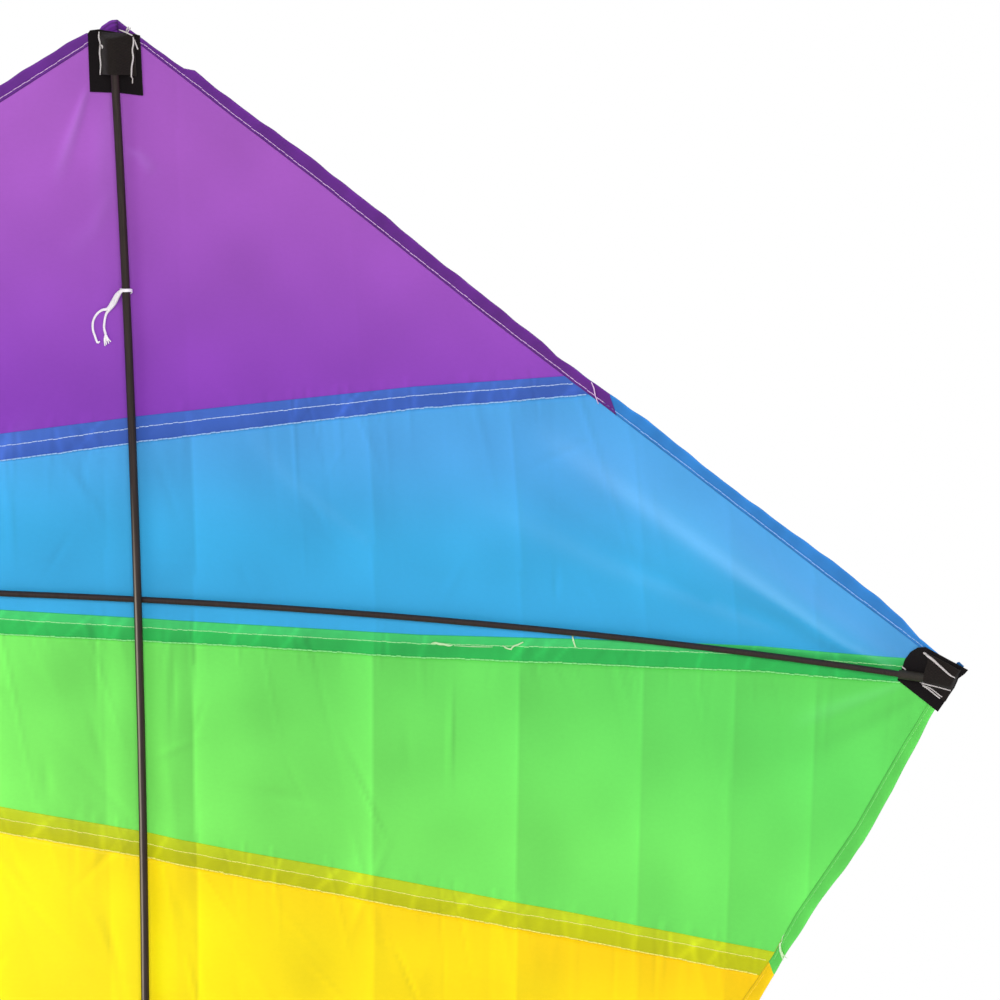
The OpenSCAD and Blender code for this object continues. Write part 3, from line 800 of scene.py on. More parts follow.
# ---- seams: the lower cloth folded over the upper one, with two rows of stitches ----
# Distance down from the seam's fold, and lift off the cloth
BAND_PROFILE = ((0, 0.04), (0.05, 0.34), (0.4, 0.48), (1.4, 0.44), (2.8, 0.34), (STITCH_1 - 0.6, 0.22),
                (STITCH_1, 0.16), (STITCH_1 + 0.7, 0.24), (6.4, 0.4), (8.2, 0.44), (10.0, 0.34),
                (STITCH_2 - 0.6, 0.2), (STITCH_2, 0.1), (BAND_W, 0.03))
FRONT_PROFILE = ((0.6, -0.05), (STITCH_1, -0.12), (7.5, -0.26), (STITCH_2, -0.14), (BAND_W + 0.3, -0.22),
                 (BAND_W + 0.5, -0.03))
BAND_STEP = 0.9
# How far a band runs in under the hems, and the least height that it has there
BAND_UNDER, BAND_LEAST = 1.2, 0.4


def make_band(k, name, profile, rgb, material):
    """A strip along a seam, between the hems."""
    down, height = np.array(profile).T
    xs = np.arange(-HALF, HALF + 0.01, BAND_STEP)
    high, low = hem_inner_z(True, xs) + BAND_UNDER, hem_inner_z(False, xs) - BAND_UNDER
    z = seam_z(k, xs)[:, None] - seam_drop(k, down, xs[:, None])
    z = np.clip(z, low[:, None], high[:, None])
    keep = (z[:, 0] - z[:, -1] > BAND_LEAST) & (high > low)
    xs, z = xs[keep], z[keep]
    x = np.broadcast_to(xs[:, None], z.shape)
    streak = np.zeros(z.shape)
    for x0, width, tall, lean, _reach in PUCKERS[k]:
        aside = x - x0 - 3 - (lean * 3 + 0.12) * (z - z[:, :1])
        streak = streak + (3.6 * tall + 0.1) * bell(aside, width * 0.9)
    streak = np.clip(streak, -0.5, 1)
    on_back = height[0] > 0
    base, under = (0.0, 0.01) if on_back else (-CLOTH_T, -CLOTH_T - 0.01)
    lift = base + height * (1 + 0.3 * streak)
    # Painted light and shade of the puckers: the streaks make the band lighter, or darker, in stripes across
    # it.
    extra = 0.62 * streak * np.sin(math.pi * np.linspace(0.04, 0.96, len(down))) ** 0.5
    fade = np.broadcast_to(down > STITCH_1, z.shape).astype(float)
    pair = (lift, under) if on_back else (under, lift)
    obj = thin_cloth(name, x, z, *pair, rgb, fade, material, extra, sharp=60)
    return obj


bands = []
for k, (upper, lower) in enumerate(SEAMS):
    bands.append(make_band(k, f"seam_{upper}_{lower}", BAND_PROFILE, BAND_RGB[k],
                           cloths[lower]))
    make_band(k, f"seam_front_{upper}_{lower}", FRONT_PROFILE, (FRONT_BAND_RGB[k],) * 2,
              cloths[upper])


# ---- hems: the sail's edges folded to the rods' side ----
def hem_points(width):
    """Distance in from the edge, and lift, round a hem from the front to its inner edge on the back."""
    return ((width, -CLOTH_T - 0.02), (width * 0.8, -CLOTH_T - 0.12), (width * 0.4, -CLOTH_T - 0.14),
            (0.4, -CLOTH_T - 0.12), (-0.1, -CLOTH_T - 0.02), (-0.3, 0.1), (-0.2, 0.34), (0.25, 0.5),
            (1.2, 0.5), (width * 0.3, 0.48), (width * 0.45, 0.44), (width - 3.0, 0.36), (width - 2.2, 0.26),
            (width - 1.6, 0.17), (width - 1.0, 0.28), (width - 0.4, 0.32), (width, 0.22),
            (width + 0.02, 0.02))


HEM_STEP = 1.2
STITCH_IN = 1.6
NOSE_MITRE, PEAK_HALF = 12.0, 14.0
TAIL_GAP = 5.0
# How far a hem runs on past its panel's seam, and how far the inner corner of its end lies farther out
PURPLE_RUN_ON, TRAIL_RUN_ON, LEAD_SLANT, TRAIL_SLANT = 14.5, 5.5, 7.0, 1.6
SLANT_LENGTH = 14.0
# The share of a hem's extra lift that its front layer and its rim have
HEM_FRONT_SHARE = 0.6
TRAIL_HEM_OUT, LEAD_HEM_OUT = HALF - 9, HALF - 1


def hem_run(lead, side, a, b, step):
    """Outer and inner x, z along a hem from a to b, distances from the spine, and the way in."""
    d = np.linspace(a, b, max(3, int((b - a) / step)))
    slope = LEAD_SLOPE if lead else TRAIL_SLOPE
    inward = np.array([slope, -1.0] if lead else [-slope, 1.0]) / math.hypot(1, slope)
    reach = along(LEAD_HEM_IN if lead else TRAIL_HEM_IN, d)
    # The two hems meet on the spine's line at the nose, so they turn straight down there.
    turned = smooth(d / NOSE_MITRE) if lead else 1.0
    outer = np.stack([side * d, edge_z(lead, side * d)], 1)
    inner = np.stack([side * (d + inward[0] * reach * turned), straight_edge(lead, d) + inward[1] * reach], 1)
    return outer, inner, np.array([side * inward[0], inward[1]])


def hem_light(inside, mean, phase, pucker, lead, side):
    """How much lighter a hem is painted at each spot: a pale rim as a painted highlight, painted shade in the
    stitches' groove and along the inner edge, painted light and shade on its puckers, stripes at the nose,
    and darker where the hems meet at the nose and at the end by the tip.
    """
    groove, rim = bell(inside - mean + STITCH_IN, 0.7), np.exp(-np.maximum(inside, 0) / 0.8)
    light = 0.3 * pucker * (1 - groove) - 0.06 * groove + 0.14 * rim - 0.2 * (inside > mean - 0.5)
    if lead:
        strength, darker = (0.1, 0.2) if side > 0 else (0.45, 0)
        stripes = strength * np.cos(23.3 * inside / mean) - darker
        light = light + stripes * np.clip(1.4 - phase / PEAK_HALF, 0, 1)
        light = light - 0.5 * bell(phase, 0.9) - 0.6 * smooth((phase - 428) / 5)
    return light + 0.05 * np.sin(phase / 6.1) * np.sin(phase / 17.0)


def make_hem(name, colour, lead, side, a, b, extra, slant_a=0.0, slant_b=0.0):
    """A hem. Its ends slant: their inner corners lie that much farther out from the spine."""
    outer, inner, inward = hem_run(lead, side, a, b, HEM_STEP)
    length = (b - a) / SLANT_LENGTH
    share = np.linspace(0, 1, len(outer))
    slide = slant_a * np.clip(1 - share * length, 0, 1) + slant_b * np.clip(1 - (1 - share) * length, 0, 1)
    inner = inner + slide[:, None] * np.array([side, LEAD_SLOPE if lead else TRAIL_SLOPE])
    mean = float(np.linalg.norm(inner - outer, axis=1).mean())
    inside, lift = np.array(hem_points(mean)).T
    phase = np.abs(outer[:, :1])
    pucker = 0.16 * np.sin(phase / 1.9 + 1.5 * np.sin(phase / 11)) + 0.14 * np.sin(phase / 4.7)
    over, beyond = np.maximum(inside, 0)[:, None], np.minimum(inside, 0)[:, None]
    xz = outer[:, None] + (inner - outer)[:, None] * over / mean + inward * beyond
    thin_lift = lift + np.sign(lift) * extra * HEM_FRONT_SHARE
    raised = np.where(lift > 0.15, lift * (1 + pucker) + extra, thin_lift)
    under = np.where((lift < -0.1) & (inside > 0), -CLOTH_T - 0.005, np.where(lift > 0, 0.005, -0.1))
    light = hem_light(inside, mean, phase, pucker, lead, side)
    rgb = linear(SAIL_RGB[colour][HEM]) * (1 + light)[..., None]
    obj = cloth_slab(name, xz[..., 0], xz[..., 1], raised, under, rgb, cloths[colour], sharp=70)
    return obj


def crossing(k, side, lead):
    """How far out a seam's fold meets an edge."""
    d = np.arange(4, HALF, 0.05)
    above = np.sign(edge_z(lead, side * d) - seam_z(k, side * d))
    return float(d[np.nonzero(above[1:] != above[:-1])[0][-1]])


hems, hem_runs = [], {}
for side, word in ((-1, "left"), (1, "right")):
    first = crossing(0, side, True)
    runs = [(True, "purple", 0.0, min(first + PURPLE_RUN_ON, LEAD_HEM_OUT - 2), 0.34, 0.0, LEAD_SLANT),
            (True, "blue", first - 4, LEAD_HEM_OUT, 0.0, 0.0, 0.0)]
    stops = [TRAIL_HEM_OUT] + [crossing(k, side, False) for k in (2, 3, 4)] + [TAIL_GAP]
    for i, colour in enumerate(COLOURS[2:]):
        out = stops[i] + (3 if i else 0)
        foot = stops[i + 1] - (TRAIL_RUN_ON if i < 3 else 0)
        runs.append((False, colour, foot, out, 0.1 * (3 - i), TRAIL_SLANT if i < 3 else 0.0, 0.0))
    for lead, colour, a, b, extra, slant_a, slant_b in runs:
        name = f"hem_{colour}_{word}"
        hems.append(make_hem(name, colour, lead, side, a, b, extra, slant_a, slant_b))
        if not lead and colour != "green":
            b -= TRAIL_RUN_ON + 5
        hem_runs[name] = (lead, side, a, b, colour, extra)

# ---- stitches ----
STITCH_PITCH, STITCH_SHARE = 2.6, 0.96
# The share of the stitches that are sewn
STITCHES_TAKEN = 1.0
# The threads' radii in the first and second rows of the seams, in the hems and in the patches
ROW_R, LOW_ROW_R, HEM_ROW_R, PATCH_ROW_R = 0.22, 0.36, 0.19, 0.18
# The lift of the rows on the front
FRONT_LIFT = -CLOTH_T - 0.16


def stitch_row(x, z, lift, radius):
    """Short rounded threads along a line on the cloth. Lift is towards the rods' side, or away below 0."""
    length = run_of(np.stack([x, z], 1))
    starts = np.arange(0, length[-1] - STITCH_PITCH, STITCH_PITCH)
    starts = starts[rng.uniform(0, 1, len(starts)) < STITCHES_TAKEN]
    t = starts[:, None] + STITCH_PITCH * STITCH_SHARE * np.array([0, 0.12, 0.5, 0.88, 1])
    sx = np.interp(t, length, x) + rng.normal(0, 0.04, len(starts))[:, None]
    sz = np.interp(t, length, z) + rng.normal(0, 0.1, len(starts))[:, None]
    arch = radius * np.array([-0.1, 0.6, 0.9, 0.6, -0.1])
    points = on_cloth(sx, sz, lift + math.copysign(1, lift) * arch)
    return [tube(p, radius * np.array([0.7, 1.0, 1.0, 1.0, 0.7]), 5) for p in points]


def seam_row(k, down, lift, radius):
    xs = np.linspace(-HALF, HALF, 900)
    z = seam_z(k, xs) - seam_drop(k, down, xs)
    inside = (z < hem_inner_z(True, xs) + 1.0) & (z > hem_inner_z(False, xs) - 1.0)
    return join(stitch_row(xs[inside], z[inside], lift, radius))


for k, (upper, lower) in enumerate(SEAMS):
    make_mesh(f"stitches_{upper}_{lower}", seam_row(k, STITCH_1, 0.16, ROW_R), threads[lower])
    make_mesh(f"stitches_low_{upper}_{lower}", seam_row(k, STITCH_2, 0.1, LOW_ROW_R), soft_threads[lower])
    for word, down in (("", STITCH_1), ("_low", STITCH_2)):
        row = seam_row(k, down, FRONT_LIFT, ROW_R)
        make_mesh(f"stitches_front{word}_{upper}_{lower}", row, threads[upper])
for name, (lead, side, a, b, colour, extra) in hem_runs.items():
    outer, inner, inward = hem_run(lead, side, max(a, PEAK_HALF) if lead else a + 3, b, 2.0)
    x, z = (inner - inward * STITCH_IN).T
    for word, lift in (("", 0.2 + extra), ("front_", FRONT_LIFT - extra * HEM_FRONT_SHARE)):
        make_mesh(f"stitches_{word}{name}", join(stitch_row(x, z, lift, HEM_ROW_R)), hem_threads[colour])

# ---- corner pockets: a base on the cloth and a flap folded back over the rod's end ----
# The webbing's thickness, and how far its base lies behind the spar's middle
POCKET_T, BASE_OFF = 0.8, 2.8
POCKET_CELLS = 44
# From the spine's middle to the flap over it, past the cap, and half the width over which the flap arches
SPINE_CLEAR, SPINE_SLEEVE = SPINE_R + 0.7 + 0.3, 9.2


def spaced(line, t):
    """Points of an x, z line at shares of its length."""
    line = np.asarray(line, float)
    d = run_of(line)
    return np.stack([np.interp(t * d[-1], d, line[:, i]) for i in (0, 1)], -1)


def off_sail(p, off):
    return np.stack([p[..., 0], base_y(p[..., 0], p[..., 1]) + off, p[..., 1]], -1)


def pocket_grid(mouth, fold):
    t = np.linspace(0, 1, POCKET_CELLS + 1)
    m, f = spaced(mouth, t), spaced(fold, t)
    return m[:, None] * (1 - t)[:, None] + f[:, None] * t[:, None], t[:, None], t[None]


def pocket_base(mouth, fold):
    p, u, v = pocket_grid(mouth, fold)
    rim = np.minimum(np.minimum(u, 1 - u), np.minimum(v, 1 - v))
    worn = 0.12 * (1 - smooth(rim / 0.05)) + 0.08 * np.sin(p[..., 0] * 0.5 + 1) * np.sin(p[..., 1] * 0.4)
    return slab(off_sail(p, BASE_OFF + worn), off_sail(p, BASE_OFF + POCKET_T + worn))


def pocket_flap(mouth, fold, across, axis_off, clear, half_high, half_low):
    """A flap that arches over a rod, whose axis lies at axis_off. Across is 1 where the rod runs along x."""
    p, _u, v = pocket_grid(mouth, fold)
    d = p[..., across]
    half = np.where(d > 0, half_high, half_low)
    rise = (0.5 + 0.5 * np.cos(math.pi * np.clip(np.abs(d) / half, 0, 1))) ** 0.8
    flat, top = BASE_OFF - POCKET_T - 0.12, axis_off - clear - POCKET_T
    height = flat + (top - flat) * rise + 0.06 * np.sin(p[..., 0] * 0.9 + p[..., 1] * 1.1)
    # The last tenth turns down to the base, as folded webbing does.
    turned = 1 - np.sqrt(1 - np.clip((v - 0.9) / 0.1, 0, 1) ** 2)
    height = height * (1 - turned) + (BASE_OFF - 0.1) * turned
    return slab(off_sail(p, height), off_sail(p, np.minimum(height + POCKET_T, BASE_OFF - 0.02)))


def make_pocket(name, node, base, flap):
    """Both parts in one piece: the base, in the flap's shade, is painted darker."""
    obj = make_mesh(name, join([base, flap]), webbing, sharp=50)
    obj.data.materials.append(webbing_painted_shade)
    for face in obj.data.polygons[:len(base[1])]:
        face.material_index = 1
    return stands_for(obj, node)


# Each line's x, z points: the mouth and the fold of the base, then those of the flap
NOSE_LINES = (
    ((-14.6, 251.8), (0, 251.2), (12.0, 250.8)),
    ((-13.9, 280.8), (-12.8, 282.3), (-8.6, 282.8), (0, 281.2), (9, 281.2), (12.4, 280.6)),
    ((-9.0, 260.5), (-4.5, 261.6), (0.5, 262.3), (5, 261.7), (9.4, 260.4)),
    ((-8.8, 282.0), (-3, 281.2), (3, 281.2), (9.6, 281.3)),
)
TAIL_LINES = (
    ((-12.6, -614.2), (0, -613.9), (12.6, -614.3)),
    ((-12.5, -643.8), (0, -644.0), (12.5, -643.7)),
    ((-9.0, -624.4), (0, -626.2), (9.0, -624.2)),
    ((-9.0, -643.8), (9.0, -643.8)),
)
TIP_LINES = (
    ((400.4, -3.6), (402.4, 1.2), (405.2, 7.4), (408.6, 11.6), (412.6, 14.4), (417.0, 15.4)),
    ((423.0, -15.2), (431.2, -3.4), (433.4, 1.4), (437.2, 4.4), (439.4, 6.8)),
    ((415.2, -5.2), (416.2, 0), (417.2, 5), (418.2, 9), (419.0, 12.4)),
    ((427.0, -10.0), (430.8, -3.6), (432.8, 1.0), (434.4, 4.4), (436.0, 6.6)),
)
pockets = []
for word, lines in (("nose", NOSE_LINES), ("tail", TAIL_LINES)):
    flap = pocket_flap(*lines[2:], 0, SPINE_OFF, SPINE_CLEAR, SPINE_SLEEVE, SPINE_SLEEVE)
    pockets.append(make_pocket(f"pocket_{word}", f"{word}_pocket", pocket_base(*lines[:2]), flap))
for side, word in ((1, "right"), (-1, "left")):
    lines = [[(side * x, z) for x, z in line] for line in TIP_LINES]
    flap = pocket_flap(*lines[2:], 1, 0.0, CAP_R + 0.3, 10.5, 5.4)
    pockets.append(make_pocket(f"pocket_tip_{word}", f"tip_pocket_{word}", pocket_base(*lines[:2]), flap))

# ---- rods, caps and the tow ring keep their CAD solids ----
CAD_LOOKS = {"spine": spine_rod, "cross_spar": rod, "tow_ring": metal, "spine_cap_nose": vinyl,
             "spine_cap_tail": vinyl, "spar_cap_left": vinyl, "spar_cap_right": vinyl}
for node, material in CAD_LOOKS.items():
    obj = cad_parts[node]
    obj.data.materials.clear()
    obj.data.materials.append(material)
    obj.data.shade_smooth()
    obj.data.set_sharp_from_angle(angle=math.radians(40))


# ---- heavy threads on the pockets and loose thread ends on the cloth ----
def tree_of(objs):
    verts, faces = [], []
    for obj in objs:
        n = len(verts)
        verts += [obj.matrix_world @ v.co for v in obj.data.vertices]
        faces += [[i + n for i in p.vertices] for p in obj.data.polygons]
    return BVHTree.FromPolygons(verts, faces)


bpy.context.view_layer.update()
cloth_tree = tree_of(panels + bands + hems)
pocket_tree = tree_of(pockets + panels)
BEFORE_SAIL = -0.4


def laid_thread(points, tree, at=(0, 0), side=1, wander=0.0, reach=2):
    """A thread through x, z, lift, radius points set off from at, on what is highest within reach steps."""
    line = [(side * (at[0] + dx) + rng.normal(0, wander), at[1] + dz + rng.normal(0, wander), lift, radius)
            for dx, dz, lift, radius in points]
    x, z, lift, radius = smooth_line(line, 0.5).T
    hits = [tree.ray_cast(Vector((a * MM, BEFORE_SAIL, b * MM)), Vector((0, 1, 0)))[0] for a, b in zip(x, z)]
    under = [hit.y / MM if hit else float(on_cloth(a, b)[1]) for hit, a, b in zip(hits, x, z)]
    taut = np.array([min(under[max(0, i - reach):i + reach + 1]) for i in range(len(under))])
    taut = np.array([taut[max(0, i - 1):i + 2].mean() for i in range(len(taut))])
    return tube(np.stack([x, taut - lift, z], -1), np.maximum(radius, 0.06), 7)


NOSE_THREADS = (
    ((-7.9, 282.0, 0.3, 0.26), (-8.0, 279, 0.3, 0.4), (-7.4, 276, 0.3, 0.36), (-8.1, 271, 0.3, 0.4),
     (-7.9, 266, 0.3, 0.37), (-8.7, 260.6, 0.2, 0.3)),
    ((-7.6, 274.8, 0.4, 0.3), (-6.6, 276.0, 0.5, 0.36), (-5.4, 275.6, 0.5, 0.42), (-5.6, 274.4, 0.5, 0.34)),
    ((9.3, 280.0, 0.4, 0.26), (9.3, 277, 0.3, 0.42), (8.5, 273.5, 0.3, 0.37), (8.7, 270, 0.3, 0.42),
     (7.8, 265, 0.3, 0.4), (7.5, 261, 0.3, 0.36), (7.0, 256.6, 0.2, 0.2)),
    ((9.6, 278.6, 0.4, 0.22), (10.2, 276.6, 0.5, 0.32), (11.2, 273.8, 0.5, 0.38)),
    ((4.6, 281.4, 0.4, 0.24), (5.4, 283.2, 0.5, 0.5), (6.4, 284.4, 0.4, 0.22)),
    ((5.6, 281.2, 0.4, 0.2), (6.3, 282.6, 0.5, 0.36), (7.3, 284.0, 0.4, 0.2)),
)
NOSE_TOP_THREAD = ((2.1, 283.2, 0.3, 0.2), (4.0, 282.6, 0.3, 0.32), (6.2, 281.8, 0.3, 0.36),
                   (8.9, 280.6, 0.3, 0.3))
TAIL_THREADS = (
    ((-7.6, -625.4, 0.2, 0.3), (-7.2, -630, 0.4, 0.44), (-7.8, -636, 0.4, 0.42), (-7.4, -643, 0.4, 0.3)),
    ((7.8, -625.0, 0.2, 0.3), (7.4, -631, 0.4, 0.42), (7.9, -637, 0.4, 0.44), (7.5, -643.4, 0.4, 0.3)),
)
TIP_THREADS = (
    ((416.2, 12.6, 0.3, 0.5), (419.6, 10.9, 0.3, 0.66), (424.6, 8.0, 0.3, 0.55), (429.6, 5.2, 0.3, 0.45),
     (433.6, 3.2, 0.3, 0.2)),
    ((403.2, 3.4, 0.3, 0.2), (404.2, 2.8, 0.4, 0.34), (405.4, 2.0, 0.3, 0.2)),
    ((410.4, -1.0, 0.3, 0.16), (415, -1.8, 0.3, 0.3), (424, -2.9, 0.3, 0.26), (430.2, -4.0, 0.3, 0.24)),
    ((411.0, -1.8, 0.3, 0.16), (414.6, -3.4, 0.3, 0.3), (419.6, -6.0, 0.3, 0.36), (424.4, -8.6, 0.3, 0.32)),
    ((415.6, -3.0, 0.3, 0.14), (420, -5.0, 0.3, 0.28), (425.4, -7.8, 0.3, 0.28)),
)
sewn = [laid_thread(p, pocket_tree) for p in NOSE_THREADS + TAIL_THREADS]
sewn += [laid_thread(NOSE_TOP_THREAD, pocket_tree, reach=40)]
for side, wander in ((1, 0.0), (-1, 0.2)):
    sewn += [laid_thread(p, pocket_tree, side=side, wander=wander) for p in TIP_THREADS]
make_mesh("stitches_pockets", join(sewn), thread_heavy)

# Each loose thread's shape, set off from its image point
LOOSE = {
    "thread_lump": (((-5.6, -0.1, 0.3, 0.2), (-3.4, 0.4, 0.4, 0.5), (-1.2, 0.1, 0.5, 0.62),
                     (1.4, 0.1, 0.5, 0.56), (3.6, -0.3, 0.4, 0.5), (5.6, -0.1, 0.3, 0.24)),
                    ((6.4, -0.2, 0.2, 0.12), (16, 0.2, 0.3, 0.2), (27, 1.0, 0.3, 0.14))),
    "thread_fork": (((-4.8, 0.8, 0.3, 0.26), (-2.4, -0.2, 0.6, 0.4), (0.2, -0.4, 0.8, 0.36)),
                    ((-0.4, -0.6, 0.8, 0.34), (1.2, 1.2, 1.0, 0.42), (3.2, 2.0, 1.0, 0.4),
                     (6.2, 3.6, 0.7, 0.32))),
    "thread_tick": (((-0.7, 2.6, 0.7, 0.36), (0, 0.2, 0.7, 0.42), (0.9, -2.9, 0.4, 0.34)),),
    "thread_purple_hem": (((-1.2, 5.6, 0.4, 0.26), (0, 2.6, 0.7, 0.3), (0.4, -1.4, 0.6, 0.28),
                           (1.4, -5.4, 0.3, 0.2)),),
    "thread_green_hem": (((1.0, 6.6, 0.3, 0.1), (0.2, 5.2, 0.4, 0.2), (-0.2, 3.0, 0.4, 0.16),
                          (-1.0, 1.6, 0.4, 0.5), (-0.6, -0.8, 0.4, 0.66), (0.4, -3.4, 0.4, 0.5),
                          (0.8, -5.6, 0.3, 0.16)),
                         ((0.2, -1.4, 0.4, 0.3), (1.4, -3.4, 0.4, 0.36), (3.0, -4.4, 0.3, 0.12))),
}
loose_spots = {name: place(name, cloth_tree) for name in LOOSE}
for name, material in (("threads_loose_purple", threads["purple"]), ("threads_loose", thread_pale)):
    loose = [laid_thread(points, cloth_tree, at=loose_spots[spot][[0, 2]])
             for spot, lines in LOOSE.items() for points in lines if ("purple" in spot) == ("purple" in name)]
    make_mesh(name, join(loose), material)

# ---- bridle line, with the route of the part's source, in metres ----
LINE_Y, RING_Z = 0.013, -0.248
UPPER_EXIT, LOWER_EXIT = (0, 0.0022545, 0.152), (0, -0.0109455, -0.33)
ROUTE = [UPPER_EXIT, (0, 0.0062545, 0.1515), (0, 0.009, 0.1495), (0, 0.0115, 0.145), (0, LINE_Y, 0.136),
         (0, LINE_Y, 0.06), (0, LINE_Y, -0.1), (0, LINE_Y, -0.22), (0, LINE_Y, -0.28), (0, LINE_Y, -0.4),
         (-0.001, 0.012, -0.52), (-0.001, 0.011, -0.55), (0.001, 0.0105, -0.562), (0.005, 0.01, -0.57),
         (0.011, 0.0095, -0.573), (0.017, 0.009, -0.57), (0.021, 0.0085, -0.562), (0.022, 0.008, -0.55),
         (0.02, 0.006, -0.5), (0.013, 0.001, -0.42), (0.007, -0.003, -0.362), (0.003, -0.005, -0.343),
         (0.001, -0.006, -0.335), (0, -0.0074455, -0.3308), LOWER_EXIT]
# Radii of the line: hanging slack, and drawn tight in the wraps, the ring's loop and the ties
LINE_R, WRAP_R, RING_LOOP_R, TIE_R = 0.6, 0.55, 0.58, 0.48
# The y of the middle of the ring's loop, and the radius of its bend
LOOP_Y, LOOP_BEND = 16.4, 2.1
route = smooth_line(np.array(ROUTE) / MM, 0.7)


def laid_line(path, radius=LINE_R, sides=12):
    return tube(path, radius, sides, 3)


def coil(centre, radius, turns, length, axis):
    """A few touching turns of line about an axis."""
    axis = unit(axis)
    u = unit(np.cross(axis, [0.3, 1, 0.2]))
    t = np.linspace(0, 1, int(turns * 24))[:, None]
    a = 2 * math.pi * turns * t
    path = centre + axis * length * (t - 0.5) + radius * (np.cos(a) * u + np.sin(a) * np.cross(axis, u))
    return laid_line(path, WRAP_R)


# Its ends taper where they pivot on the ties, so that they stay clear as it swings.
taper = np.clip(0.4 + np.minimum(np.arange(len(route)), np.arange(len(route))[::-1]) / 2, 0, 1)
bridle = make_mesh("bridle_line_laid", laid_line(route, LINE_R * taper), line_cloth, "bridle")
stands_for(bridle, "bridle_line")
turn = np.linspace(-math.pi, math.pi, 40)
loop_z = RING_Z / MM + LOOP_BEND * np.sin(turn)
ring_loop = np.stack([0 * turn, LOOP_Y - LOOP_BEND * np.cos(turn), loop_z], -1)
wraps = coil(np.array([0, LINE_Y, RING_Z]) / MM, 1.22, 4.0, 4.8, [0, 0, 1])
knot = make_mesh("ring_knot_wrapped", join([wraps, laid_line(ring_loop, RING_LOOP_R)]), line_cloth, "bridle")
stands_for(knot, "ring_knot")

# ---- ties: two turns of line round the spine, open where the line goes through the sail, and two tails ----
# How far behind the spar's middle a tie's line ends, past the sail
EXIT_OFF = 5.5
# Half the turn of each ring of line round the spine, in radians, and how far its ends drop
TIE_TURN, TIE_DROP = 2.45, 1.9


def tie_turns(z0):
    middle = np.array([0, spine_y(z0) + SPINE_OFF, z0])
    radius = SPINE_R + 0.68
    a = np.linspace(-TIE_TURN, TIE_TURN, 60)
    drop = TIE_DROP * (np.abs(a) / TIE_TURN) ** 3
    rings = [np.stack([radius * np.sin(a), -radius * np.cos(a), dz - drop], -1) for dz in (3.5, 2.75)]
    through = [middle + [0, SPINE_R + 0.7, 0], middle + [0, EXIT_OFF - SPINE_OFF, 0]]
    return [laid_line(middle + ring, TIE_R, 14) for ring in rings] + [laid_line(through, sides=14)]


def tie_tail(z0, points, radii=None):
    """A tail through x, z, off points: off is how far behind the spar's middle, and below 0 before it."""
    radii = radii or [LINE_R] * len(points)
    p = [(x, float(base_y(x, z0 + z)) + off, z0 + z, r) for (x, z, off), r in zip(points, radii)]
    path = smooth_line(p, 0.35)
    return laid_line(path[:, :3], path[:, 3], 14)


# x, z, off points of each tie's tails, with their radii where they aren't the line's
THICK_TAIL = (0.3, 0.4, 0.6, 0.85, 0.95, 0.85, 0.66, 0.62, 0.6, 0.6, 0.6, 0.55, 0.36)
FRAYED_FROM = (-13.0, -20.6, 2.0)
TIE_TAILS = {
    "upper": [
        (((0.6, 3.4, -6.1), (-0.6, 3.4, -6.4), (-2.3, 2.6, -5.7), (-4.8, 0.4, -3.7), (-7.8, -3.6, -0.8),
          (-11.0, -7.6, 1.2), (-14.2, -8.6, 1.9), (-17.0, -10.8, 2.1), (-18.9, -14.4, 2.1),
          (-19.2, -18.2, 2.1), (-18.4, -21.6, 2.1), (-17.2, -24.8, 2.0), (-16.0, -24.2, 1.9)), THICK_TAIL),
        (((0.6, 2.8, -6.1), (-0.6, 2.7, -6.4), (-2.1, 1.8, -5.5), (-4.3, -0.9, -3.3), (-7.2, -4.9, -0.7),
          (-10.4, -8.2, 1.1), (-12.2, -10.6, 1.8), (-13.2, -14.0, 2.0), (-13.6, -17.6, 2.0), FRAYED_FROM),
         THICK_TAIL[:6] + (0.66, 0.62, 0.62, 0.66)),
        ((FRAYED_FROM, (-13.7, -23.4, 1.9), (-13.5, -26.4, 1.7)), (0.5, 0.42, 0.3)),
        ((FRAYED_FROM, (-13.0, -23.4, 1.8), (-12.7, -25.8, 1.6)), (0.5, 0.42, 0.3)),
        ((FRAYED_FROM, (-12.2, -23.2, 1.8), (-11.5, -25.2, 1.6)), (0.5, 0.42, 0.3)),
        ((FRAYED_FROM, (-11.9, -22.6, 1.7), (-10.4, -24.2, 1.4)), (0.5, 0.4, 0.3)),
    ],
    "lower": [
        (((-2.4, 0.4, -4.6), (-4.4, -1.5, -3.0), (-7.0, -6.0, 0.4), (-9.0, -13.0, 1.8),
          (-7.8, -24.0, 2.1)),),
        (((-2.4, -0.4, -4.6), (-4.4, -2.3, -3.0), (-3.8, -7.0, 0.2), (-5.0, -12.0, 1.8),
          (-4.0, -19.0, 2.1)),),
    ],
}
lower_knot = np.array([-SPINE_R - 2.0, spine_y(TIE_Z["lower"]) + SPINE_OFF + 0.2, TIE_Z["lower"] - 0.6])
knots = {"upper": [], "lower": [coil(lower_knot, 0.75, 2.5, 2.2, [0.8, 0, 1])]}
for word, z0 in TIE_Z.items():
    tails = [tie_tail(z0, *tail) for tail in TIE_TAILS[word]]
    tie = make_mesh(f"tie_{word}", join(tie_turns(z0) + knots[word] + tails), line_cloth)
    stands_for(tie, f"bridle_tie_{word}")

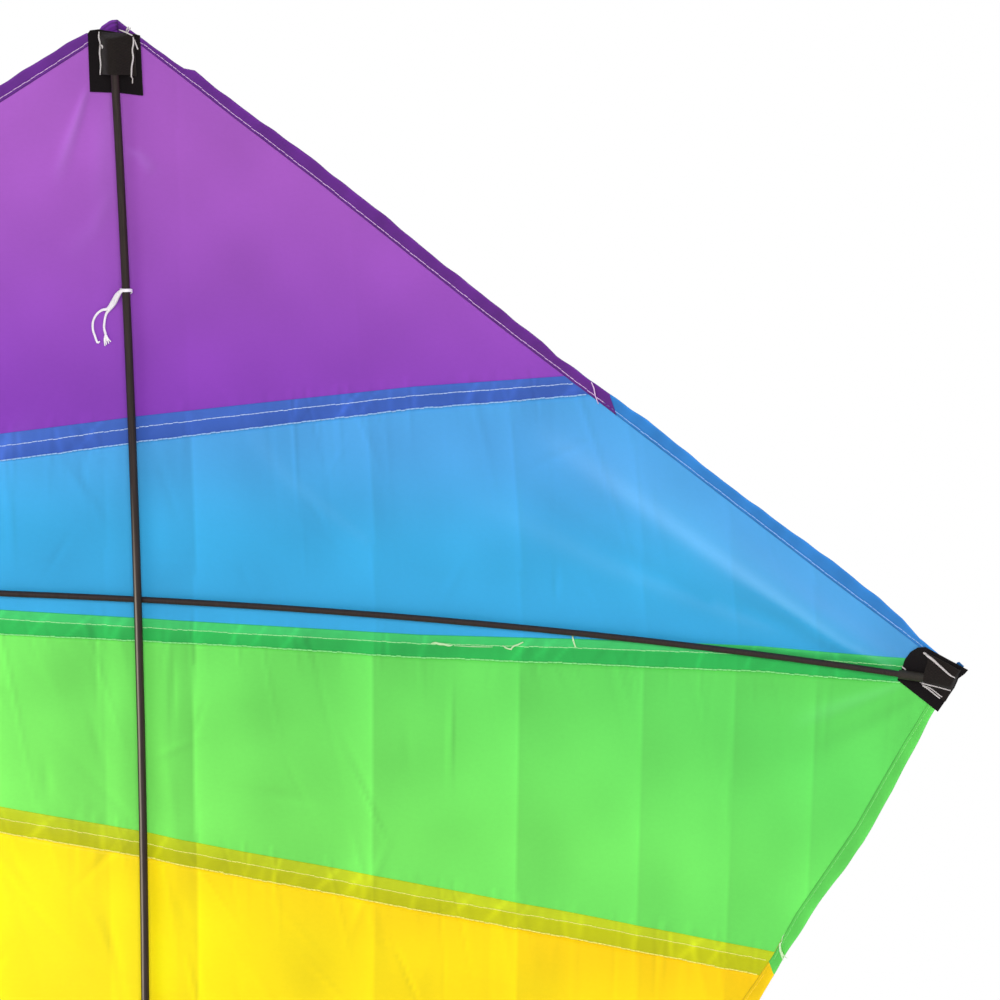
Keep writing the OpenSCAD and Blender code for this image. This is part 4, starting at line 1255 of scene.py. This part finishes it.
# ---- patches on the front, round the holes of the bridle ----
PATCH_HALF, PATCH_SEW, PATCH_HOLE = 12.0, 10.4, 2.4
across = np.linspace(-PATCH_HALF, PATCH_HALF, 33)
gx, gz = np.meshgrid(across, across, indexing="ij")
rim = np.minimum(PATCH_HALF - np.abs(gx), PATCH_HALF - np.abs(gz))
patch_lift = -CLOTH_T - 0.12 - 0.42 * smooth(rim / 0.9)
row = np.linspace(-PATCH_SEW, PATCH_SEW, 40)
edge = np.full(40, PATCH_SEW)
halves = (row[row < -PATCH_HOLE], row[row > PATCH_HOLE])
sewn_lines = [(row, edge), (row, -edge), (edge, row), (-edge, row)]
sewn_lines += [(half, sign * half) for sign in (1, -1) for half in halves]
for word, colour in (("upper", "purple"), ("lower", "orange")):
    z0 = TIE_Z[word]
    patch = thin_cloth(f"patch_{word}", gx, z0 + gz, -CLOTH_T - 0.02, patch_lift,
                       (SAIL_RGB[colour][HEM],) * 2, 0 * gx, cloths[colour], sharp=60)
    stands_for(patch, f"bridle_patch_{word}")
    rows = [stitch for x, z in sewn_lines for stitch in stitch_row(x, z0 + z, FRONT_LIFT - 0.4, PATCH_ROW_R)]
    make_mesh(f"stitches_patch_{word}", join(rows), threads[colour])

# ---- ribbon loop at the tail ----
LOOP_R, LOOP_W, LOOP_Z, RIBBON_T = 5.0, 8.0, -664.1, 0.8
loop_y = float(spine_y(TAIL_LOW)) + 4.2
wide = np.linspace(-LOOP_W / 2, LOOP_W / 2, 13)
round_loop, half = np.meshgrid(np.linspace(0, 2 * math.pi, 73), wide, indexing="ij")
rings = [np.stack([half, loop_y + r * np.sin(round_loop), LOOP_Z + r * np.cos(round_loop)], -1)
         for r in (LOOP_R + RIBBON_T, LOOP_R)]
gx, gz = np.meshgrid(wide, np.linspace(TAIL_LOW - 0.6, TAIL_LOW + 11, 13), indexing="ij")
tab = slab(on_cloth(gx, gz, 0.95), on_cloth(gx, gz, 0.55))
tail_loop = make_mesh("tail_loop_ribbon", join([slab(*rings), tab]), webbing, sharp=50)
stands_for(tail_loop, "tail_loop")


# ---- light, floor and background ----
def area_light(name, spot, size, power):
    """Spot and size in metres, power in watts."""
    data = bpy.data.lights.new(name, "AREA")
    data.shape = "SQUARE"
    data.size = size
    data.energy = power
    lamp = linked(name, data)
    lamp.location = spot
    lamp.rotation_mode = "QUATERNION"
    lamp.rotation_quaternion = (-Vector(spot)).to_track_quat("-Z", "Y")


area_light("key", (1.74, -4.86, 1.88), 2.2, 206)
area_light("fill", (-1.8, -4.6, 0.6), 4.5, 30)
area_light("front_soft", (-1.5, 4.2, 2.0), 4.5, 175)

AMBIENT = 0.25
world = bpy.data.worlds.new("studio")
bpy.context.scene.world = world
world.use_nodes = True
sky = Nodes(world.node_tree)
strength = sky.math("MULTIPLY_ADD", sky.shown(), 1.0 - AMBIENT, AMBIENT)
sky.feed(world.node_tree.nodes["Background"], {"Color": (1, 1, 1, 1), "Strength": strength})

# In metres: the floor's height and half width, and how far from the rods' crossing it starts to fade to white
FLOOR_Z, FLOOR_HALF, FADE_FROM = -0.74, 15, 1.0
look = Shader("floor", (233, 233, 233), 0.9)
reach = look.add("VectorMath", {0: look.spot()})
reach.operation = "LENGTH"
far = look.math("SUBTRACT", reach.outputs["Value"], FADE_FROM)
far.node.use_clamp = True
white = look.add("MixShader", {0: look.math("MULTIPLY", far, look.shown()), 1: look.surface.outputs[0],
                               2: look.add("Emission").outputs[0]})
look.feed(look.tree.nodes["Material Output"], {"Surface": white.outputs[0]})
floor_mesh = bpy.data.meshes.new("floor")
corners = [(x * FLOOR_HALF, y * FLOOR_HALF, FLOOR_Z) for x, y in ((-1, -1), (1, -1), (1, 1), (-1, 1))]
floor_mesh.from_pydata(corners, [], [[0, 1, 2, 3]])
floor_mesh.materials.append(look.material)
linked("floor", floor_mesh)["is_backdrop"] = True
bpy.context.scene.view_settings.view_transform = "Standard"

# ---- where marked points of the kite show in the photo's frame ----
bpy.context.view_layer.update()
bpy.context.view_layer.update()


def vertices(obj):
    co = np.empty(len(obj.data.vertices) * 3, np.float32)
    obj.data.vertices.foreach_get("co", co)
    world_of = np.array(obj.matrix_world)
    return (co.reshape(-1, 3) @ world_of[:3, :3].T + world_of[:3, 3]) / MM


def nearest(points, axis, want):
    """Of where points show, the place whose x or y is nearest to the wanted one."""
    xy = seen(points)
    return xy[np.argmin(np.abs(xy[:, axis] - want))]


def hem_corner(name, end, slant, slope):
    """Where the middle of a hem's slanted end shows: 0 is its start and -1 its far end."""
    outer, inner, _inward = hem_run(*hem_runs[name][:4], 1.0)
    ends = np.array([outer[end], inner[end] + slant * np.array([1, slope])])
    return seen(on_cloth(ends[:, 0], ends[:, 1], 0.5)).mean(0)


every = np.concatenate([seen(vertices(obj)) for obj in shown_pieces() if obj.type == "MESH"])
every = every[((every > 0) & (every < PHOTO_W)).all(1)]
spine_z, seam_x = np.linspace(-300, 280, 3000), np.linspace(0, 300, 1500)
spine_line = np.stack([0 * spine_z, spine_y(spine_z) + SPINE_OFF, spine_z], -1)
upper_z = TIE_Z["upper"]
shown = {
    "right_edge": (every[:, 0].max(), None),
    "top_edge": (None, every[:, 1].min()),
    "rods_cross": seen((0, spar_y(0) + SPINE_OFF / 2, 0))[0],
    "spine_low": nearest(spine_line, 1, IMAGE_POINTS["spine_low"][1]),
    "spar_at_cap": seen((400, spar_y(400.0), 0))[0],
    "tie_on_spine": seen((0.5, spine_y(upper_z) + SPINE_OFF - 2.8, upper_z + 3.8))[0],
    "purple_hem_end": hem_corner("hem_purple_right", -1, LEAD_SLANT, LEAD_SLOPE),
    "green_hem_end": hem_corner("hem_green_right", 0, TRAIL_SLANT, TRAIL_SLOPE),
}
for name, spot in (("nose_pocket_low_left", NOSE_LINES[0][0]), ("nose_pocket_low_right", NOSE_LINES[0][-1]),
                   ("tip_pocket_inner", TIP_LINES[0][0]), ("tip_pocket_low", TIP_LINES[1][0])):
    shown[name] = seen(off_sail(np.array(spot), BASE_OFF))[0]
for k, (upper, lower) in enumerate(SEAMS[:3]):
    name = f"seam_{upper}_{lower}"
    shown[name] = nearest(on_cloth(seam_x, seam_z(k, seam_x)), 0, IMAGE_POINTS[name][0])
for name, spot in loose_spots.items():
    shown[name] = seen(spot)[0]
